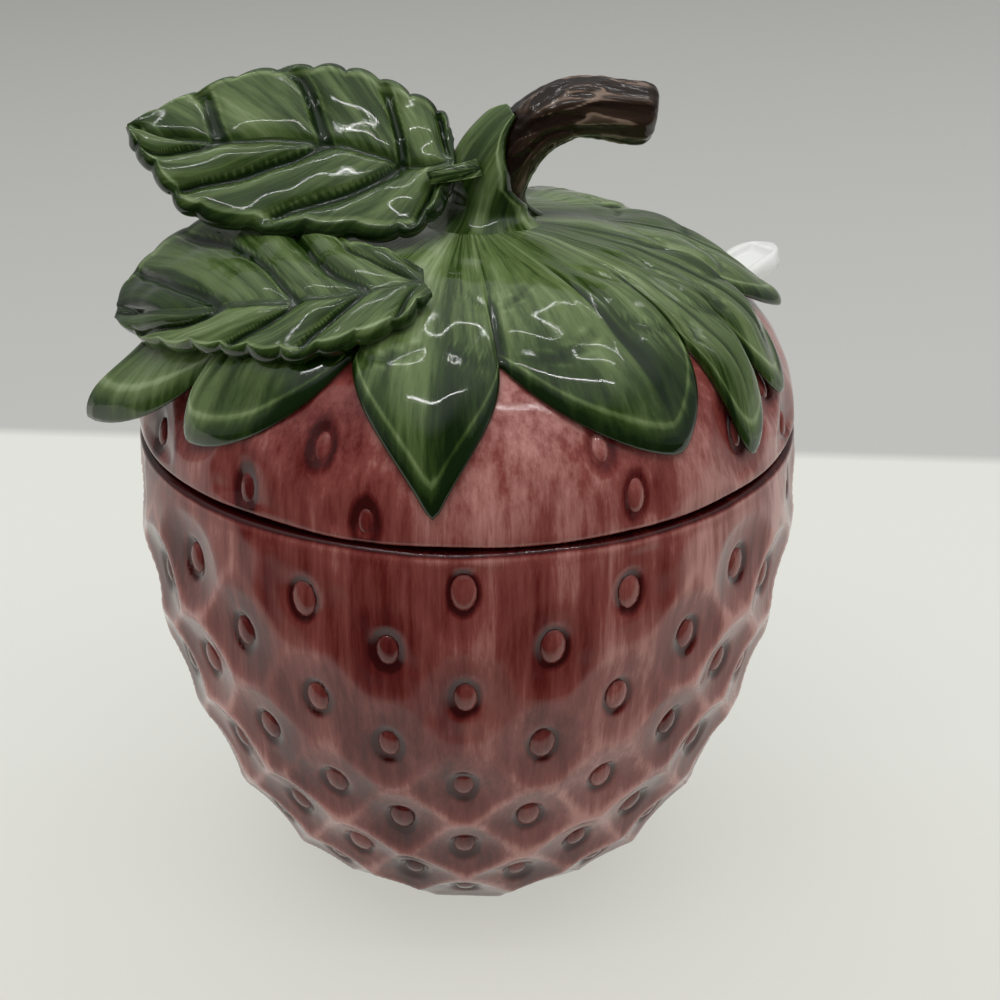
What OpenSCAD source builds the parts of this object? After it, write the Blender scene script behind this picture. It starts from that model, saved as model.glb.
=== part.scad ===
/* [Pot] */
// Radius where the pot meets the lid
seam_r = 51.5; // [44:0.5:60]
// Height of the seam above the table
seam_z = 78; // [62:1:100]
// Radius of the flat foot
foot_r = 22; // [16:1:30]
// How far the lower flank swells outwards
flank_bulge = 39.8; // [34:0.2:46]
// How far the shoulder swells outwards
shoulder_bulge = 56.9; // [52:0.1:60]
// Thickness of the cast wall
wall = 4.5; // [3.5:0.25:6]
// Thickness of the floor
floor_t = 5; // [3.5:0.5:8]
// Width of the flat seat at the mouth
lip_w = 5; // [4.5:0.25:7]

/* [Skin] */
// Seeds in each ring
seed_count = 14; // [10:1:16]
// Distance between rings of seeds
ring_step = 9; // [8:0.25:12]
// Depth of the hollow round each seed
dimple_d = 1.3; // [0.4:0.1:2]
// Height of a seed above the bottom of its hollow
seed_h = 0.9; // [0.2:0.1:1.2]
// Half the width of a seed
seed_w = 1.9; // [1.2:0.1:2.6]
// Half the length of a seed
seed_l = 2.6; // [1.6:0.1:3.6]

/* [Lid] */
// Height of the red dome above the seam
dome_h = 29.5; // [20:0.5:40]
// Squareness of the dome's profile
dome_n = 2.3; // [2:0.05:2.8]
// Depth of the ring that drops into the mouth
flange_d = 5; // [3:0.5:8]
// Thickness of that ring
flange_t = 3.5; // [2.5:0.25:5]
// Running gap between ring and mouth
flange_gap = 0.6; // [0.3:0.1:1.2]
// Rounding of the two edges at the seam
edge_round = 0.8; // [0.3:0.1:1.2]

/* [Calyx] */
// Thickness of the green sepals
calyx_t = 1.7; // [1.2:0.1:2.6]
// Seating gap under every leaf
leaf_gap = 0.3; // [0.2:0.05:0.5]
// Depth of the furrows in the sepals
furrow_d = 0.5; // [0.1:0.1:0.8]

/* [Leaves] */
// Thickness of the free leaves
leaf_t = 2.2; // [1.6:0.1:2.6]
// Depth of the notches along the leaf edges
tooth_d = 1.1; // [0.2:0.1:1.6]
// Swelling of the leaf between its veins
puff = 0.7; // [0.1:0.1:1]

/* [Stem] */
// Radius of the stem handle
stem_r = 4.7; // [3.8:0.1:5.4]
// Height of the stem's arch above the calyx
stem_rise = 16.7; // [13:0.1:22]
// Reach of the stem to its cut end
stem_reach = 24.5; // [20:0.5:34]
// Thickness of the green sheath round the stem
sheath_t = 1.5; // [1:0.1:2.4]

/* [Spoon] */
// Direction in which the spoon leaves the pot
spoon_az = 35; // [25:1:45]
// Slope of the spoon's shaft
spoon_tilt = 44; // [42:0.5:48]
// Length of the bowl
bowl_l = 34; // [26:1:38]
// Half the width of the bowl
bowl_w = 10; // [7:0.5:11]
// Half the width of the shaft
shaft_w = 3; // [2:0.25:4]
// Thickness of the shaft
shaft_t = 2.4; // [1.6:0.1:3]
// Length of the bent thumb piece outside the lid
thumb_l = 14; // [10:1:20]
// Gap between the spoon and the notch in the lid
notch_gap = 2; // [1.2:0.2:3]

/* [Hidden] */
$fn = 96;
red = [0.45, 0.13, 0.17];
green = [0.13, 0.27, 0.12];
brown = [0.16, 0.1, 0.08];
clear_plastic = [0.9, 0.93, 0.93, 0.4];
front = 270;
mouth_r = seam_r - lip_w;

function mix(a, b, t) = a + (b - a) * t;
function clamp01(t) = max(0, min(1, t));
function smooth(t) = let (c = clamp01(t)) c * c * (3 - 2 * c);
function unit(v) = v / max(norm(v), 0.000001);
function bezier(p, t) =
    pow(1 - t, 3) * p[0] + 3 * t * pow(1 - t, 2) * p[1] + 3 * t * t * (1 - t) * p[2] + pow(t, 3) * p[3];
// A smooth curve through every point of a list
function through(p, t) =
    let (n = len(p) - 1, s = clamp01(t) * n, i = min(floor(s), n - 1), f = s - i)
    let (a = p[max(i - 1, 0)], b = p[i], c = p[i + 1], d = p[min(i + 2, n)])
    b + 0.5 * f * (c - a + f * (2 * a - 5 * b + 4 * c - d + f * (3 * (b - c) + d - a)));
// Running length along a list of points
function lengths(p, i = 0, sum = 0) =
    i >= len(p) ? [] : let (s = i == 0 ? 0 : sum + norm(p[i] - p[i - 1])) concat([s], lengths(p, i + 1, s));

// Solid between two grids of points; seen from outside, the first grid's columns run to the right as its rows go up
module skin(top, under) {
    rows = len(top);
    cols = len(top[0]);
    last = rows - 1;
    count = rows * cols;
    function at(i, j) = i * cols + j;
    function low(i, j) = count + at(i, j);
    upper_faces = [for (i = [0:rows - 2], j = [0:cols - 2])
        each [[at(i, j), at(i + 1, j + 1), at(i, j + 1)], [at(i, j), at(i + 1, j), at(i + 1, j + 1)]]];
    under_faces = [for (i = [0:rows - 2], j = [0:cols - 2])
        each [[low(i, j), low(i, j + 1), low(i + 1, j + 1)], [low(i, j), low(i + 1, j + 1), low(i + 1, j)]]];
    start_rim = [for (j = [0:cols - 2])
        each [[at(0, j), low(0, j + 1), low(0, j)], [at(0, j), at(0, j + 1), low(0, j + 1)]]];
    end_rim = [for (j = [0:cols - 2])
        each [[at(last, j), low(last, j), low(last, j + 1)], [at(last, j), low(last, j + 1), at(last, j + 1)]]];
    sides = [for (i = [0:rows - 2])
        each [[at(i, 0), low(i, 0), low(i + 1, 0)], [at(i, 0), low(i + 1, 0), at(i + 1, 0)],
              [at(i, cols - 1), low(i + 1, cols - 1), low(i, cols - 1)],
              [at(i, cols - 1), at(i + 1, cols - 1), low(i + 1, cols - 1)]]];
    polyhedron([for (r = top) each r, for (r = under) each r],
               concat(upper_faces, under_faces, start_rim, end_rim, sides), convexity = 8);
}

// Solid inside a stack of rings; flat first and last rings close as they are, others come to a point
module stack(rings, points = []) {
    rows = len(rings);
    cols = len(rings[0]);
    last = rows - 1;
    count = rows * cols;
    function at(i, j) = i * cols + (j % cols);
    walls = [for (i = [0:rows - 2], j = [0:cols - 1])
        each [[at(i, j), at(i + 1, j), at(i + 1, j + 1)], [at(i, j), at(i + 1, j + 1), at(i, j + 1)]]];
    flats = [[for (j = [0:cols - 1]) j], [for (j = [cols - 1:-1:0]) at(last, j)]];
    fans = [for (j = [0:cols - 1]) each [[at(0, j), at(0, j + 1), count], [at(last, j + 1), at(last, j), count + 1]]];
    polyhedron(concat([for (r = rings) each r], points),
               concat(walls, len(points) == 2 ? fans : flats), convexity = 8);
}

// Pot profile, from the foot to the seam
pot_curve = [[foot_r, 0], [flank_bulge, 1.5], [shoulder_bulge, seam_z * 0.65], [seam_r, seam_z]];
curve_steps = 120;
pot_line = [for (i = [0:curve_steps]) bezier(pot_curve, 1 - i / curve_steps)];
pot_run = lengths(pot_line);
pot_length = pot_run[curve_steps];
pot_r_at = [for (i = [0:curve_steps]) [pot_run[i], pot_line[i][0]]];
pot_z_at = [for (i = [0:curve_steps]) [pot_run[i], pot_line[i][1]]];
// Place on the pot at a distance down from the seam: radius and height
function pot_at(s) = [lookup(s, pot_r_at), lookup(s, pot_z_at)];
function pot_out(s) = let (d = pot_at(s + 0.5) - pot_at(s - 0.5)) unit([-d[1], d[0]]);

// Dome profile, from the apex to the seam
dome_line = [for (i = [0:curve_steps])
    let (a = 90 * i / curve_steps)
    [seam_r * pow(sin(a), 2 / dome_n), seam_z + dome_h * pow(cos(a), 2 / dome_n)]];
dome_run = lengths(dome_line);
dome_length = dome_run[curve_steps];
dome_r_at = [for (i = [0:curve_steps]) [dome_run[i], dome_line[i][0]]];
dome_z_at = [for (i = [0:curve_steps]) [dome_run[i], dome_line[i][1]]];
function dome_at(s) = [lookup(s, dome_r_at), lookup(s, dome_z_at)];
function dome_out(s) =
    let (d = dome_at(min(s + 0.5, dome_length)) - dome_at(max(s - 0.5, 0))) unit([-d[1], d[0]]);

// Rings of seeds, staggered by half a seed; row 0 lies this far below the seam
first_ring = 0.5 * ring_step;
function row_of(s) = (s - first_ring) / ring_step;
// How far the skin dips at an azimuth and a distance below the seam
function dip(az, s) =
    let (k = row_of(s), wave = 0.5 + 0.5 * cos(seed_count * (az - front)) * cos(180 * k))
    dimple_d * pow(wave, 1.4);
function seed_rise(az, s) =
    let (k = round(row_of(s)), half = 180 / seed_count)
    let (step = round((az - front) / half), on = (step + k) % 2 == 0)
    on && abs(row_of(s) - k) < 0.05 && abs((az - front) / half - step) < 0.05 ? seed_h : 0;
function relief(az, s) = seed_rise(az, s) - dip(az, s);

// Columns stand on the seeds and beside them, so that each seed keeps its own edge
half_step = 180 / seed_count;
seed_turn = seed_w / seam_r * 57.3 / half_step;
columns = [for (i = [0:2 * seed_count - 1], f = [0, seed_turn, 0.5, 1 - seed_turn])
    front + (i + f) * half_step];
function ring(r, z) = [for (a = columns) [r * cos(a), r * sin(a), z]];

module pot_body() {
    low_ring = floor((pot_length - first_ring) / ring_step) - 1;
    last_stop = first_ring + low_ring * ring_step + seed_l;
    stops = concat([0.5 * (last_stop + pot_length)],
                   [for (k = [low_ring:-1:0], f = [seed_l, 0, -seed_l]) first_ring + k * ring_step + f]);
    skin_rings = [for (s = stops)
        [for (a = columns)
            let (p = pot_at(s) + relief(a, s) * clamp01((pot_length - s) / 6) * pot_out(s))
            [p[0] * cos(a), p[0] * sin(a), p[1]]]];
    rim = pot_at(edge_round);
    color(red)
    difference() {
        stack(concat([ring(foot_r, 0)], skin_rings,
                     [ring(rim[0], rim[1]), ring(seam_r - edge_round, seam_z)]));
        pot_cavity();
    }
}

// Inner profile of the pot, from the floor up
cavity_line = [for (i = [0:20])
    let (s = pot_length * (1 - i / 20), p = pot_at(s) - wall * pot_out(s))
    if (p[1] > floor_t + 0.5 && p[1] < seam_z - flange_d - 6) p];
module pot_cavity() {
    first = cavity_line[0];
    rotate_extrude()
    polygon(concat([[0, floor_t], [first[0] - 4, floor_t]], cavity_line,
                   [[mouth_r, seam_z - flange_d - 1.5], [mouth_r, seam_z + 2], [0, seam_z + 2]]));
}

module lid_dome() {
    up = [edge_round, first_ring - seed_l, first_ring, first_ring + seed_l,
          first_ring + ring_step - seed_l, first_ring + ring_step, first_ring + ring_step + seed_l];
    band = [for (u = up)
        [for (a = columns)
            let (s = dome_length - u, p = dome_at(s) + relief(a, -u) * dome_out(s))
            [p[0] * cos(a), p[0] * sin(a), p[1]]]];
    crown = [for (f = [0.6, 0.38, 0.12])
        let (p = dome_at(f * dome_length)) ring(p[0], p[1])];
    ring_r = mouth_r - flange_gap;
    color(red)
    difference() {
        union() {
            stack(concat([ring(seam_r - edge_round, seam_z)], band, crown));
            translate([0, 0, seam_z - flange_d]) cylinder(r = ring_r, h = flange_d + 1);
        }
        lid_hollow(ring_r - flange_t);
        spoon_slot();
    }
}

module lid_hollow(bore_r) {
    steps = 12;
    inside = [for (i = [0:steps])
        let (a = 90 * (1 - i / steps) * 0.97, r = seam_r - wall, h = dome_h - wall)
        [r * pow(sin(a), 2 / dome_n), seam_z + h * pow(cos(a), 2 / dome_n)]];
    rotate_extrude()
    polygon(concat([[0, seam_z - flange_d - 1], [bore_r, seam_z - flange_d - 1], [bore_r, seam_z]], inside,
                   [[0, seam_z + dome_h - wall]]));
}

// Line of the spoon's shaft in its own upright plane: it clears the inner edge of the mouth
shaft_lift = 0.5 * shaft_t / cos(spoon_tilt) + 0.5;
function shaft_z(r) = seam_z + shaft_lift + (r - mouth_r) * tan(spoon_tilt);
module spoon_slot() {
    half = shaft_w + notch_gap;
    crown_z = shaft_z(seam_r) + shaft_lift + 0.5 - half;
    rotate(spoon_az) {
        translate([mouth_r - 10, -half, seam_z - flange_d - 1]) cube([24, 2 * half, crown_z - seam_z + flange_d + 1]);
        translate([mouth_r - 10, 0, crown_z]) rotate([0, 90, 0]) cylinder(r = half, h = 24);
    }
}

// Sepals: tip and two bends on the way to it, then two bends back to the next notch.
// Each point is an azimuth and a share of the way from the apex to the seam.
notches = [[246.5, 0.6], [276, 0.6], [318, 0.6], [330.5, 0.6], [350, 0.58], [35, 0.46],
           [73, 0.6], [112, 0.6], [150, 0.6], [192, 0.66], [216.5, 0.72]];
// The last number is how far the tip stands off the dome
sepals = [
    [[247, 0.7], [257, 0.82], [265, 0.94], [273, 0.84], [277, 0.7], 0],
    [[281, 0.69], [296, 0.84], [306, 0.86], [313, 0.79], [318, 0.67], 0],
    [[318.3, 0.74], [318, 0.91], [323, 0.925], [330.3, 0.87], [330.5, 0.68], 0],
    [[331, 0.7], [332, 0.84], [339, 0.86], [347, 0.76], [350, 0.66], 0],
    [[354, 0.66], [358, 0.74], [4, 0.78], [10, 0.7], [22, 0.58], 2.6],
    [[42, 0.56], [48, 0.76], [58, 0.86], [68, 0.8], [73, 0.68], 0],
    [[74, 0.7], [84, 0.84], [96, 0.88], [106, 0.8], [112, 0.68], 0],
    [[113, 0.7], [122, 0.82], [134, 0.91], [143, 0.8], [150, 0.68], 1],
    [[152, 0.7], [160, 0.8], [168, 0.87], [182, 0.82], [190, 0.72], 0],
    [[195, 0.73], [197, 0.85], [197.5, 0.94], [206, 0.935], [216, 0.82], 7.8],
    [[216.8, 0.78], [215.5, 0.87], [219, 0.89], [231, 0.88], [244, 0.74], 0]];
edge_steps = 4;
// Edge of the whole calyx, one entry a column: azimuth, share, place across the sepal from -1 to 1,
// azimuth of the root, and lift
function turned(a, near) = a - near > 180 ? a - 360 : a - near < -180 ? a + 360 : a;
calyx_edge = [for (k = [0:len(sepals) - 1])
    let (n0 = notches[k], s = sepals[k], n1 = notches[(k + 1) % len(notches)])
    let (w = function (p) [turned(p[0], n0[0]), p[1]])
    let (rise = [n0, w(s[0]), w(s[1]), w(s[2])], fall = [w(s[2]), w(s[3]), w(s[4]), w(n1)])
    for (i = [0:2 * edge_steps - 1])
    let (t = i / edge_steps, p = t < 1 ? bezier(rise, t) : bezier(fall, t - 1))
    [p[0], p[1], t - 1, mix(n0[0], w(n1)[0], t / 2), s[5]]];

// Point above the dome at an azimuth, a distance from the apex and a height
function over_dome(az, s, lift) =
    let (p = dome_at(s) + lift * dome_out(s)) [p[0] * cos(az), p[0] * sin(az), p[1]];
// Path of a column from the apex to the edge, in the flattened dome
function column_path(e, t) =
    let (root = 0.45 * [cos(e[3]), sin(e[3])], tip = e[1] * [cos(e[0]), sin(e[0])])
    2 * t * (1 - t) * root + t * t * tip;
function calyx_height(e, t) =
    let (round_off = t < 0.9 ? 1 : sqrt(max(0.06, 1 - pow((t - 0.9) / 0.103, 2))))
    let (rib = exp(-pow(e[2] / 0.13, 2)) * smooth((t - 0.3) * 4), seam = pow(abs(e[2]), 8) * smooth((t - 0.25) * 3))
    calyx_t * round_off * mix(0.5, 1, smooth(t / 0.6)) - furrow_d * (0.6 * rib + seam) * (t < 0.91 ? 1 : 0.3);

// A raised sepal leaves the dome towards its tip, and stays on it at both notches
function calyx_lift(e, t) = e[4] * pow(1 - abs(e[2]), 2) * pow(smooth((t - 0.6) / 0.4), 3);

module calyx() {
    stops = [0.06, 0.3, 0.5, 0.66, 0.8, 0.9, 0.96, 1];
    low_stops = [0.06, 0.27, 0.46, 0.63, 0.8, 0.9, 1];
    function spot(e, t, lift) =
        let (p = column_path(e, t))
        over_dome(atan2(p[1], p[0]), norm(p) * dome_length, lift + calyx_lift(e, t));
    top = [for (t = stops) [for (e = calyx_edge) spot(e, t, leaf_gap + calyx_height(e, t))]];
    under = [for (t = low_stops) [for (e = calyx_edge) spot(e, t, leaf_gap)]];
    apex_z = seam_z + dome_h + leaf_gap;
    color(green)
    stack(concat(under, [for (i = [len(top) - 1:-1:0]) top[i]]), [[0, 0, apex_z], [0, 0, apex_z + 0.5 * calyx_t]]);
}

// A leaf between two edges and a midrib; teeth and swelling come from the counts given
across = [-1, -0.9, -0.6, -0.25, 0, 0.25, 0.6, 0.9, 1];
function leaf_mid(mid, left, right, s, q) =
    mix(through(mid, s), through(q < 0 ? left : right, s), abs(q));
function leaf_normal(mid, left, right, s, q) =
    let (d = 0.02, s0 = max(s - d, 0), s1 = min(s + d, 1), q0 = max(q - 0.1, -1), q1 = min(q + 0.1, 1))
    unit(cross(leaf_mid(mid, left, right, s, q1) - leaf_mid(mid, left, right, s, q0),
               leaf_mid(mid, left, right, s1, q) - leaf_mid(mid, left, right, s0, q)));
module leaf(mid, left, right, rows, teeth, thick, crown, swell) {
    function reach(i, s) = teeth && i > 1 && i < rows - 1 ? (i % 2 == 0 ? 0 : 1) : 0.5;
    function place(i, j, side) =
        let (s = i / rows, q = across[j], n = leaf_normal(mid, left, right, s, q))
        let (p = leaf_mid(mid, left, right, s, q), out = unit(through(q < 0 ? left : right, s) - through(mid, s)))
        let (tooth = abs(q) < 0.85 ? 0 : (reach(i, s) - 0.5) * (teeth ? tooth_d : 0))
        let (edge = (abs(q) > 0.95 ? 0.35 : 1) * mix(0.45, 1, smooth(8 * s)), vein = 1 - exp(-pow(q / 0.15, 2)))
        let (bulge = swell * vein * (1 - pow(abs(q), 3)) * (0.6 + (i % 2 == 0 ? 0.4 : 0)) * sin(180 * s))
        p + tooth * out
          + n * ((side > 0 ? 0.5 * thick * edge + bulge : -0.5 * thick * edge) + crown * (1 - q * q) * sin(180 * s));
    top = [for (i = [0:rows]) [for (j = [0:len(across) - 1]) place(i, j, 1)]];
    under = [for (i = [0:rows]) [for (j = [0:len(across) - 1]) place(i, j, -1)]];
    skin(top, under);
}

// Leaf points are an azimuth, a share of the way from the apex to the seam, and a height over the calyx
function on_dome(list) = [for (p = list) over_dome(p[0], p[1] * dome_length, p[2] + seat)];
seat = leaf_gap + calyx_t + leaf_gap + 0.5 * leaf_t;

// The upper leaf is placed from the middle of the calyx, drawn for this seam radius, and follows the lid's size
top_z = seam_z + dome_h;
drawn_r = 51.5;
function on_crown(list) = [for (p = list) p * seam_r / drawn_r + [0, 0, top_z]];

module upper_leaf() {
    mid = [[-1.8, -3.4, 10.8], [-6, -3, 9.2], [-12, -2.6, 10.3], [-18.9, -2, 12.2], [-27.8, -2, 12.9], [-38, -2, 12.8],
           [-46.5, -1.5, 13.4], [-50.2, -0.9, 14.9]];
    upper = [[-2, 0.3, 13.2], [-3.6, 4, 16.2], [-10.1, 6, 19.8], [-17.7, 7.5, 22.2], [-25.3, 8, 22.3],
             [-34.3, 7, 21.2], [-43, 4, 18.2], [-50.6, -0.6, 15.4]];
    lower = [[-1.7, -6.2, 9.6], [-4.3, -10.3, 5.2], [-9.5, -13.4, 3.5], [-19, -13.8, 3.6], [-29, -12.4, 3.5],
             [-40, -10.3, 4.4], [-44.4, -8.5, 8.4], [-48.2, -5, 12.4], [-50.5, -1.2, 14.7]];
    color(green) leaf(on_crown(mid), on_crown(lower), on_crown(upper), 20, true, leaf_t, 0.5, puff);
}

module lower_leaf() {
    mid = [[258, 0.42, 0], [247, 0.47, 0.3], [236, 0.54, 0.9], [224, 0.6, 1.6], [210, 0.68, 2.5], [191, 0.765, 4]];
    upper = [[256, 0.37, 0], [240, 0.33, 0], [222, 0.33, 0.2], [205, 0.36, 1], [191, 0.42, 2.5], [181, 0.51, 4.6],
             [180.5, 0.62, 5.1], [183.5, 0.71, 4.8], [189.5, 0.765, 4.3]];
    lower = [[261, 0.45, 0], [256, 0.54, 0], [246, 0.62, 0.2], [236, 0.672, 0.5], [226, 0.69, 0.8], [217, 0.715, 1.2],
             [206, 0.755, 2.2], [192, 0.778, 3.8]];
    color(green) leaf(on_dome(mid), on_dome(lower), on_dome(upper), 20, true, leaf_t, 0.5, puff);
}

module bract() {
    mid = [[2.1, -6.1, 10.6], [-1.5, -7.6, 10.3], [-5.6, -8.3, 9.8]];
    upper = [[1.4, -5.6, 11.9], [-1.8, -7.1, 11.4], [-5.9, -8, 10.5]];
    lower = [[2.4, -6.3, 9.5], [-1.4, -7.8, 9.2], [-5.5, -8.3, 8.9]];
    color(green) leaf(on_crown(mid), on_crown(lower), on_crown(upper), 5, false, 0.6 * leaf_t, 0.3, 0);
}

// Centre line of the stem: it stands on the calyx, arches over and ends in a cut face
stem_base_z = top_z + leaf_gap + 0.6 * calyx_t + 0.1;
stem_root = 3.5;
stem_points = [for (p = [[0, 0], [0.035, 0.27], [0.12, 0.56], [0.25, 0.81], [0.43, 0.97], [0.66, 1], [1, 0.93]])
    [stem_root + p[0] * stem_reach, 0, stem_base_z + p[1] * stem_rise]];
// The stem stands upright at its foot and takes up the lean of the arch over a short way
function stem_heading(s) =
    unit(mix([0, 0, 1], unit(through(stem_points, s + 0.01) - through(stem_points, s - 0.01)), smooth(s / 0.14)));
// Point beside the centre line; angle 0 lies on the outside of the arch and 90 faces the front
function beside_stem(s, r, a) =
    let (h = stem_heading(s)) through(stem_points, s) + r * (cos(a) * [-h[2], 0, h[0]] + sin(a) * [0, -1, 0]);
bark_d = 0.25;

module stem() {
    sides = 14;
    steps = 16;
    function girth(s, a) =
        let (grip = s > 0.9 ? 1 + 0.06 * sin(1800 * (s - 0.9)) : 1)
        stem_r * grip + bark_d * (cos(5 * a + 200 * s) * 0.6 + cos(3 * a - 340 * s) * 0.4 - 1);
    body = [for (i = [0:steps])
        [for (j = [0:sides - 1]) let (s = i / steps * 0.98, a = 360 * j / sides) beside_stem(s, girth(s, a), a)]];
    cap = [for (j = [0:sides - 1]) let (a = 360 * j / sides) beside_stem(1, 0.72 * stem_r, a)];
    color(brown) stack(concat(body, [cap]), [beside_stem(0, 0, 0), beside_stem(1, 0, 0)]);
}

// The sheath closes round the foot of the stem and narrows to a tip on the front of the arch
module stem_sheath() {
    tip_s = 0.5;
    rows = 15;
    cols = 12;
    inner = stem_r + 0.2;
    spine_h = 1.5;
    // Angles of the two edges, by share of the way to the tip: the opening starts on the inside of the arch
    near_at = [[0, 170], [0.3, 152], [0.44, 112], [0.57, 99], [0.7, 76], [0.85, 58], [1, 44]];
    far_at = [[0, -170], [0.3, -152], [0.5, -95], [0.75, -25], [1, 14]];
    function angle_at(u, w) = mix(lookup(u, far_at), lookup(u, near_at), w);
    // It flares at its foot and carries a soft spine along the outside of the arch
    function wall_at(u, w) =
        let (flare = 2.4 * pow(clamp01(1 - u * 5), 2), lip = w == 0 || w == 1 ? 0.5 : 1)
        let (spine = spine_h * pow(max(0, cos(angle_at(u, w))), 1.5) * sin(180 * pow(u, 0.8)))
        sheath_t * lip * (1 - 0.4 * u) + flare + lip * spine;
    function place(u, w, extra) = beside_stem(u * tip_s, inner + extra, angle_at(u, w));
    outside = [for (i = [0:rows]) [for (j = [0:cols]) place(i / rows, j / cols, wall_at(i / rows, j / cols))]];
    inside = [for (i = [0:rows]) [for (j = [0:cols]) place(i / rows, j / cols, 0)]];
    color(green) skin(outside, inside);
}

// The spoon is drawn along its shaft, bowl tip first, then laid on the shaft's line
function spoon_half(x) =
    let (c = 0.5 * bowl_l, bowl = x < 2 * c ? bowl_w * sqrt(max(0, 1 - pow((x - c) / c, 2))) : 0)
    let (thumb = smooth((x - shaft_end) / 6) * 2, end = spoon_l - x)
    let (tip = end < 5 ? sqrt(max(0.02, 1 - pow(1 - end / 5, 2))) : 1)
    max(bowl, x > c ? shaft_w : 0.15 * bowl_w, 0.8) * tip + thumb * tip;
spoon_inside = 100.5;
shaft_end = spoon_inside + lip_w / cos(spoon_tilt) + 1.5;
spoon_l = shaft_end + thumb_l;
thumb_bend = 42;
bowl_depth = 4.5;
function spoon_path(x) =
    x < shaft_end ? [x, 0]
    : let (a = thumb_bend * (x - shaft_end) / thumb_l, r = thumb_l / thumb_bend * 57.3)
      [shaft_end + r * sin(a), -r * (1 - cos(a))];
function spoon_point(x, q, side) =
    let (c = 0.5 * bowl_l, hollow = x < 2 * c ? bowl_depth * pow(max(0, 1 - pow((x - c) / c, 2)), 0.7) : 0)
    let (a = x < shaft_end ? 0 : thumb_bend * (x - shaft_end) / thumb_l)
    let (rim = smooth((x - shaft_end - 2) / 3) * (abs(q) > 0.7 ? 0.4 : -0.3))
    let (thick = 0.5 * mix(1.6, shaft_t, smooth((x - c) / 12)))
    let (lift = -hollow * (1 - q * q) + side * thick + (side > 0 ? rim : 0), p = spoon_path(x))
    [p[0] + lift * sin(a), q * spoon_half(x), p[1] + lift * cos(a)];
module spoon() {
    steps_bowl = 10;
    stations = concat([for (i = [0:steps_bowl]) bowl_l * (0.5 - 0.5 * cos(180 * i / steps_bowl))],
                      [bowl_l + 8, 0.5 * (bowl_l + shaft_end), shaft_end],
                      [for (f = [0.2, 0.4, 0.6, 0.75, 0.86, 0.94, 1]) shaft_end + f * thumb_l]);
    spread = [1, 0.8, 0.4, 0, -0.4, -0.8, -1];
    top = [for (x = stations) [for (q = spread) spoon_point(x, q, 1)]];
    under = [for (x = stations) [for (q = spread) spoon_point(x, q, -1)]];
    color(clear_plastic)
    rotate(spoon_az)
    translate([mouth_r, 0, shaft_z(mouth_r)])
    rotate([0, -spoon_tilt, 0])
    translate([-spoon_inside, 0, 0])
    skin(top, under);
}

pot_body();
lid_dome();
calyx();
upper_leaf();
lower_leaf();
bract();
stem_sheath();
stem();
spoon();
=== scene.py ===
import math
import bpy
import numpy as np
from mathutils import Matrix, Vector, noise


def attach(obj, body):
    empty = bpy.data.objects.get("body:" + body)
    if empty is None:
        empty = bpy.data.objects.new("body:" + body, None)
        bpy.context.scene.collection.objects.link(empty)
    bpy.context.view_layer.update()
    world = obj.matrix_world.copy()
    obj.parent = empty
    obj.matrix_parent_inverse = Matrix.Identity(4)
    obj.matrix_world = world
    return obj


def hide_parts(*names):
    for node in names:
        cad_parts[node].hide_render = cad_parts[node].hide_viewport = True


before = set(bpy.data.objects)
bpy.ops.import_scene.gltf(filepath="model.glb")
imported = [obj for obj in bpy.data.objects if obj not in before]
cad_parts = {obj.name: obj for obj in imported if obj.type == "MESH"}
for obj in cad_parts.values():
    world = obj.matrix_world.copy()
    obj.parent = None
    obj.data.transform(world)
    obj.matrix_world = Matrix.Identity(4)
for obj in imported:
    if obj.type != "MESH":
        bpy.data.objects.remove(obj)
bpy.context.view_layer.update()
print("frame loaded:", sorted(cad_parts))

scene = bpy.context.scene
scene.view_settings.view_transform = "Standard"

# camera as in the photograph: 36 mm sensor, aimed down at the pot's flank
camera = {"lens": 64.8, "place": (0, -0.26606, 0.18829), "pitchDown": 25.55, "shiftX": 0.033}


def addCamera(c):
    data = bpy.data.cameras.new("photoCamera")
    data.lens = c["lens"]
    data.shift_x = c["shiftX"]
    data.clip_start = 0.01
    eye = bpy.data.objects.new("photoCamera", data)
    eye.location = c["place"]
    eye.rotation_euler = (math.radians(90 - c["pitchDown"]), 0, 0)
    scene.collection.objects.link(eye)
    scene.camera = eye


addCamera(camera)


# curves and grids, in millimetres until a mesh is made
def mix(a, b, t):
    return a + (b - a) * t


def smooth(t):
    t = np.clip(t, 0, 1)
    return t * t * (3 - 2 * t)


def hump(x, middle, width):
    # 1 at the middle, falling smoothly to nothing on both sides
    return np.exp(-((x - middle) / width) ** 2)


def rounded(x, start, width, least):
    # 1 up to the start, then a quarter circle down to the least share at an edge
    return np.sqrt(np.maximum(least, 1 - np.clip((x - start) / width, 0, 1) ** 2))


def unit(v):
    v = np.asarray(v, float)
    return v / np.maximum(np.linalg.norm(v, axis=-1, keepdims=True), 1e-9)


def bezier(points, t):
    p = np.asarray(points, float)
    t = np.atleast_1d(t)[:, None]
    return (1 - t) ** 3 * p[0] + 3 * t * (1 - t) ** 2 * p[1] + 3 * t * t * (1 - t) * p[2] + t ** 3 * p[3]


def through(points, t):
    p = np.asarray(points, float)
    t = np.asarray(t, float)
    last = len(p) - 1
    s = np.clip(t, 0, 1) * last
    i = np.minimum(s.astype(int), last - 1)
    f = (s - i)[..., None]
    a, b, c, d = p[np.maximum(i - 1, 0)], p[i], p[i + 1], p[np.minimum(i + 2, last)]
    return b + 0.5 * f * (c - a + f * (2 * a - 5 * b + 4 * c - d + f * (3 * (b - c) + d - a)))


def runAlong(line):
    steps = np.linalg.norm(np.diff(line, axis=0), axis=1)
    return np.concatenate([[0], np.cumsum(steps)])


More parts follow.
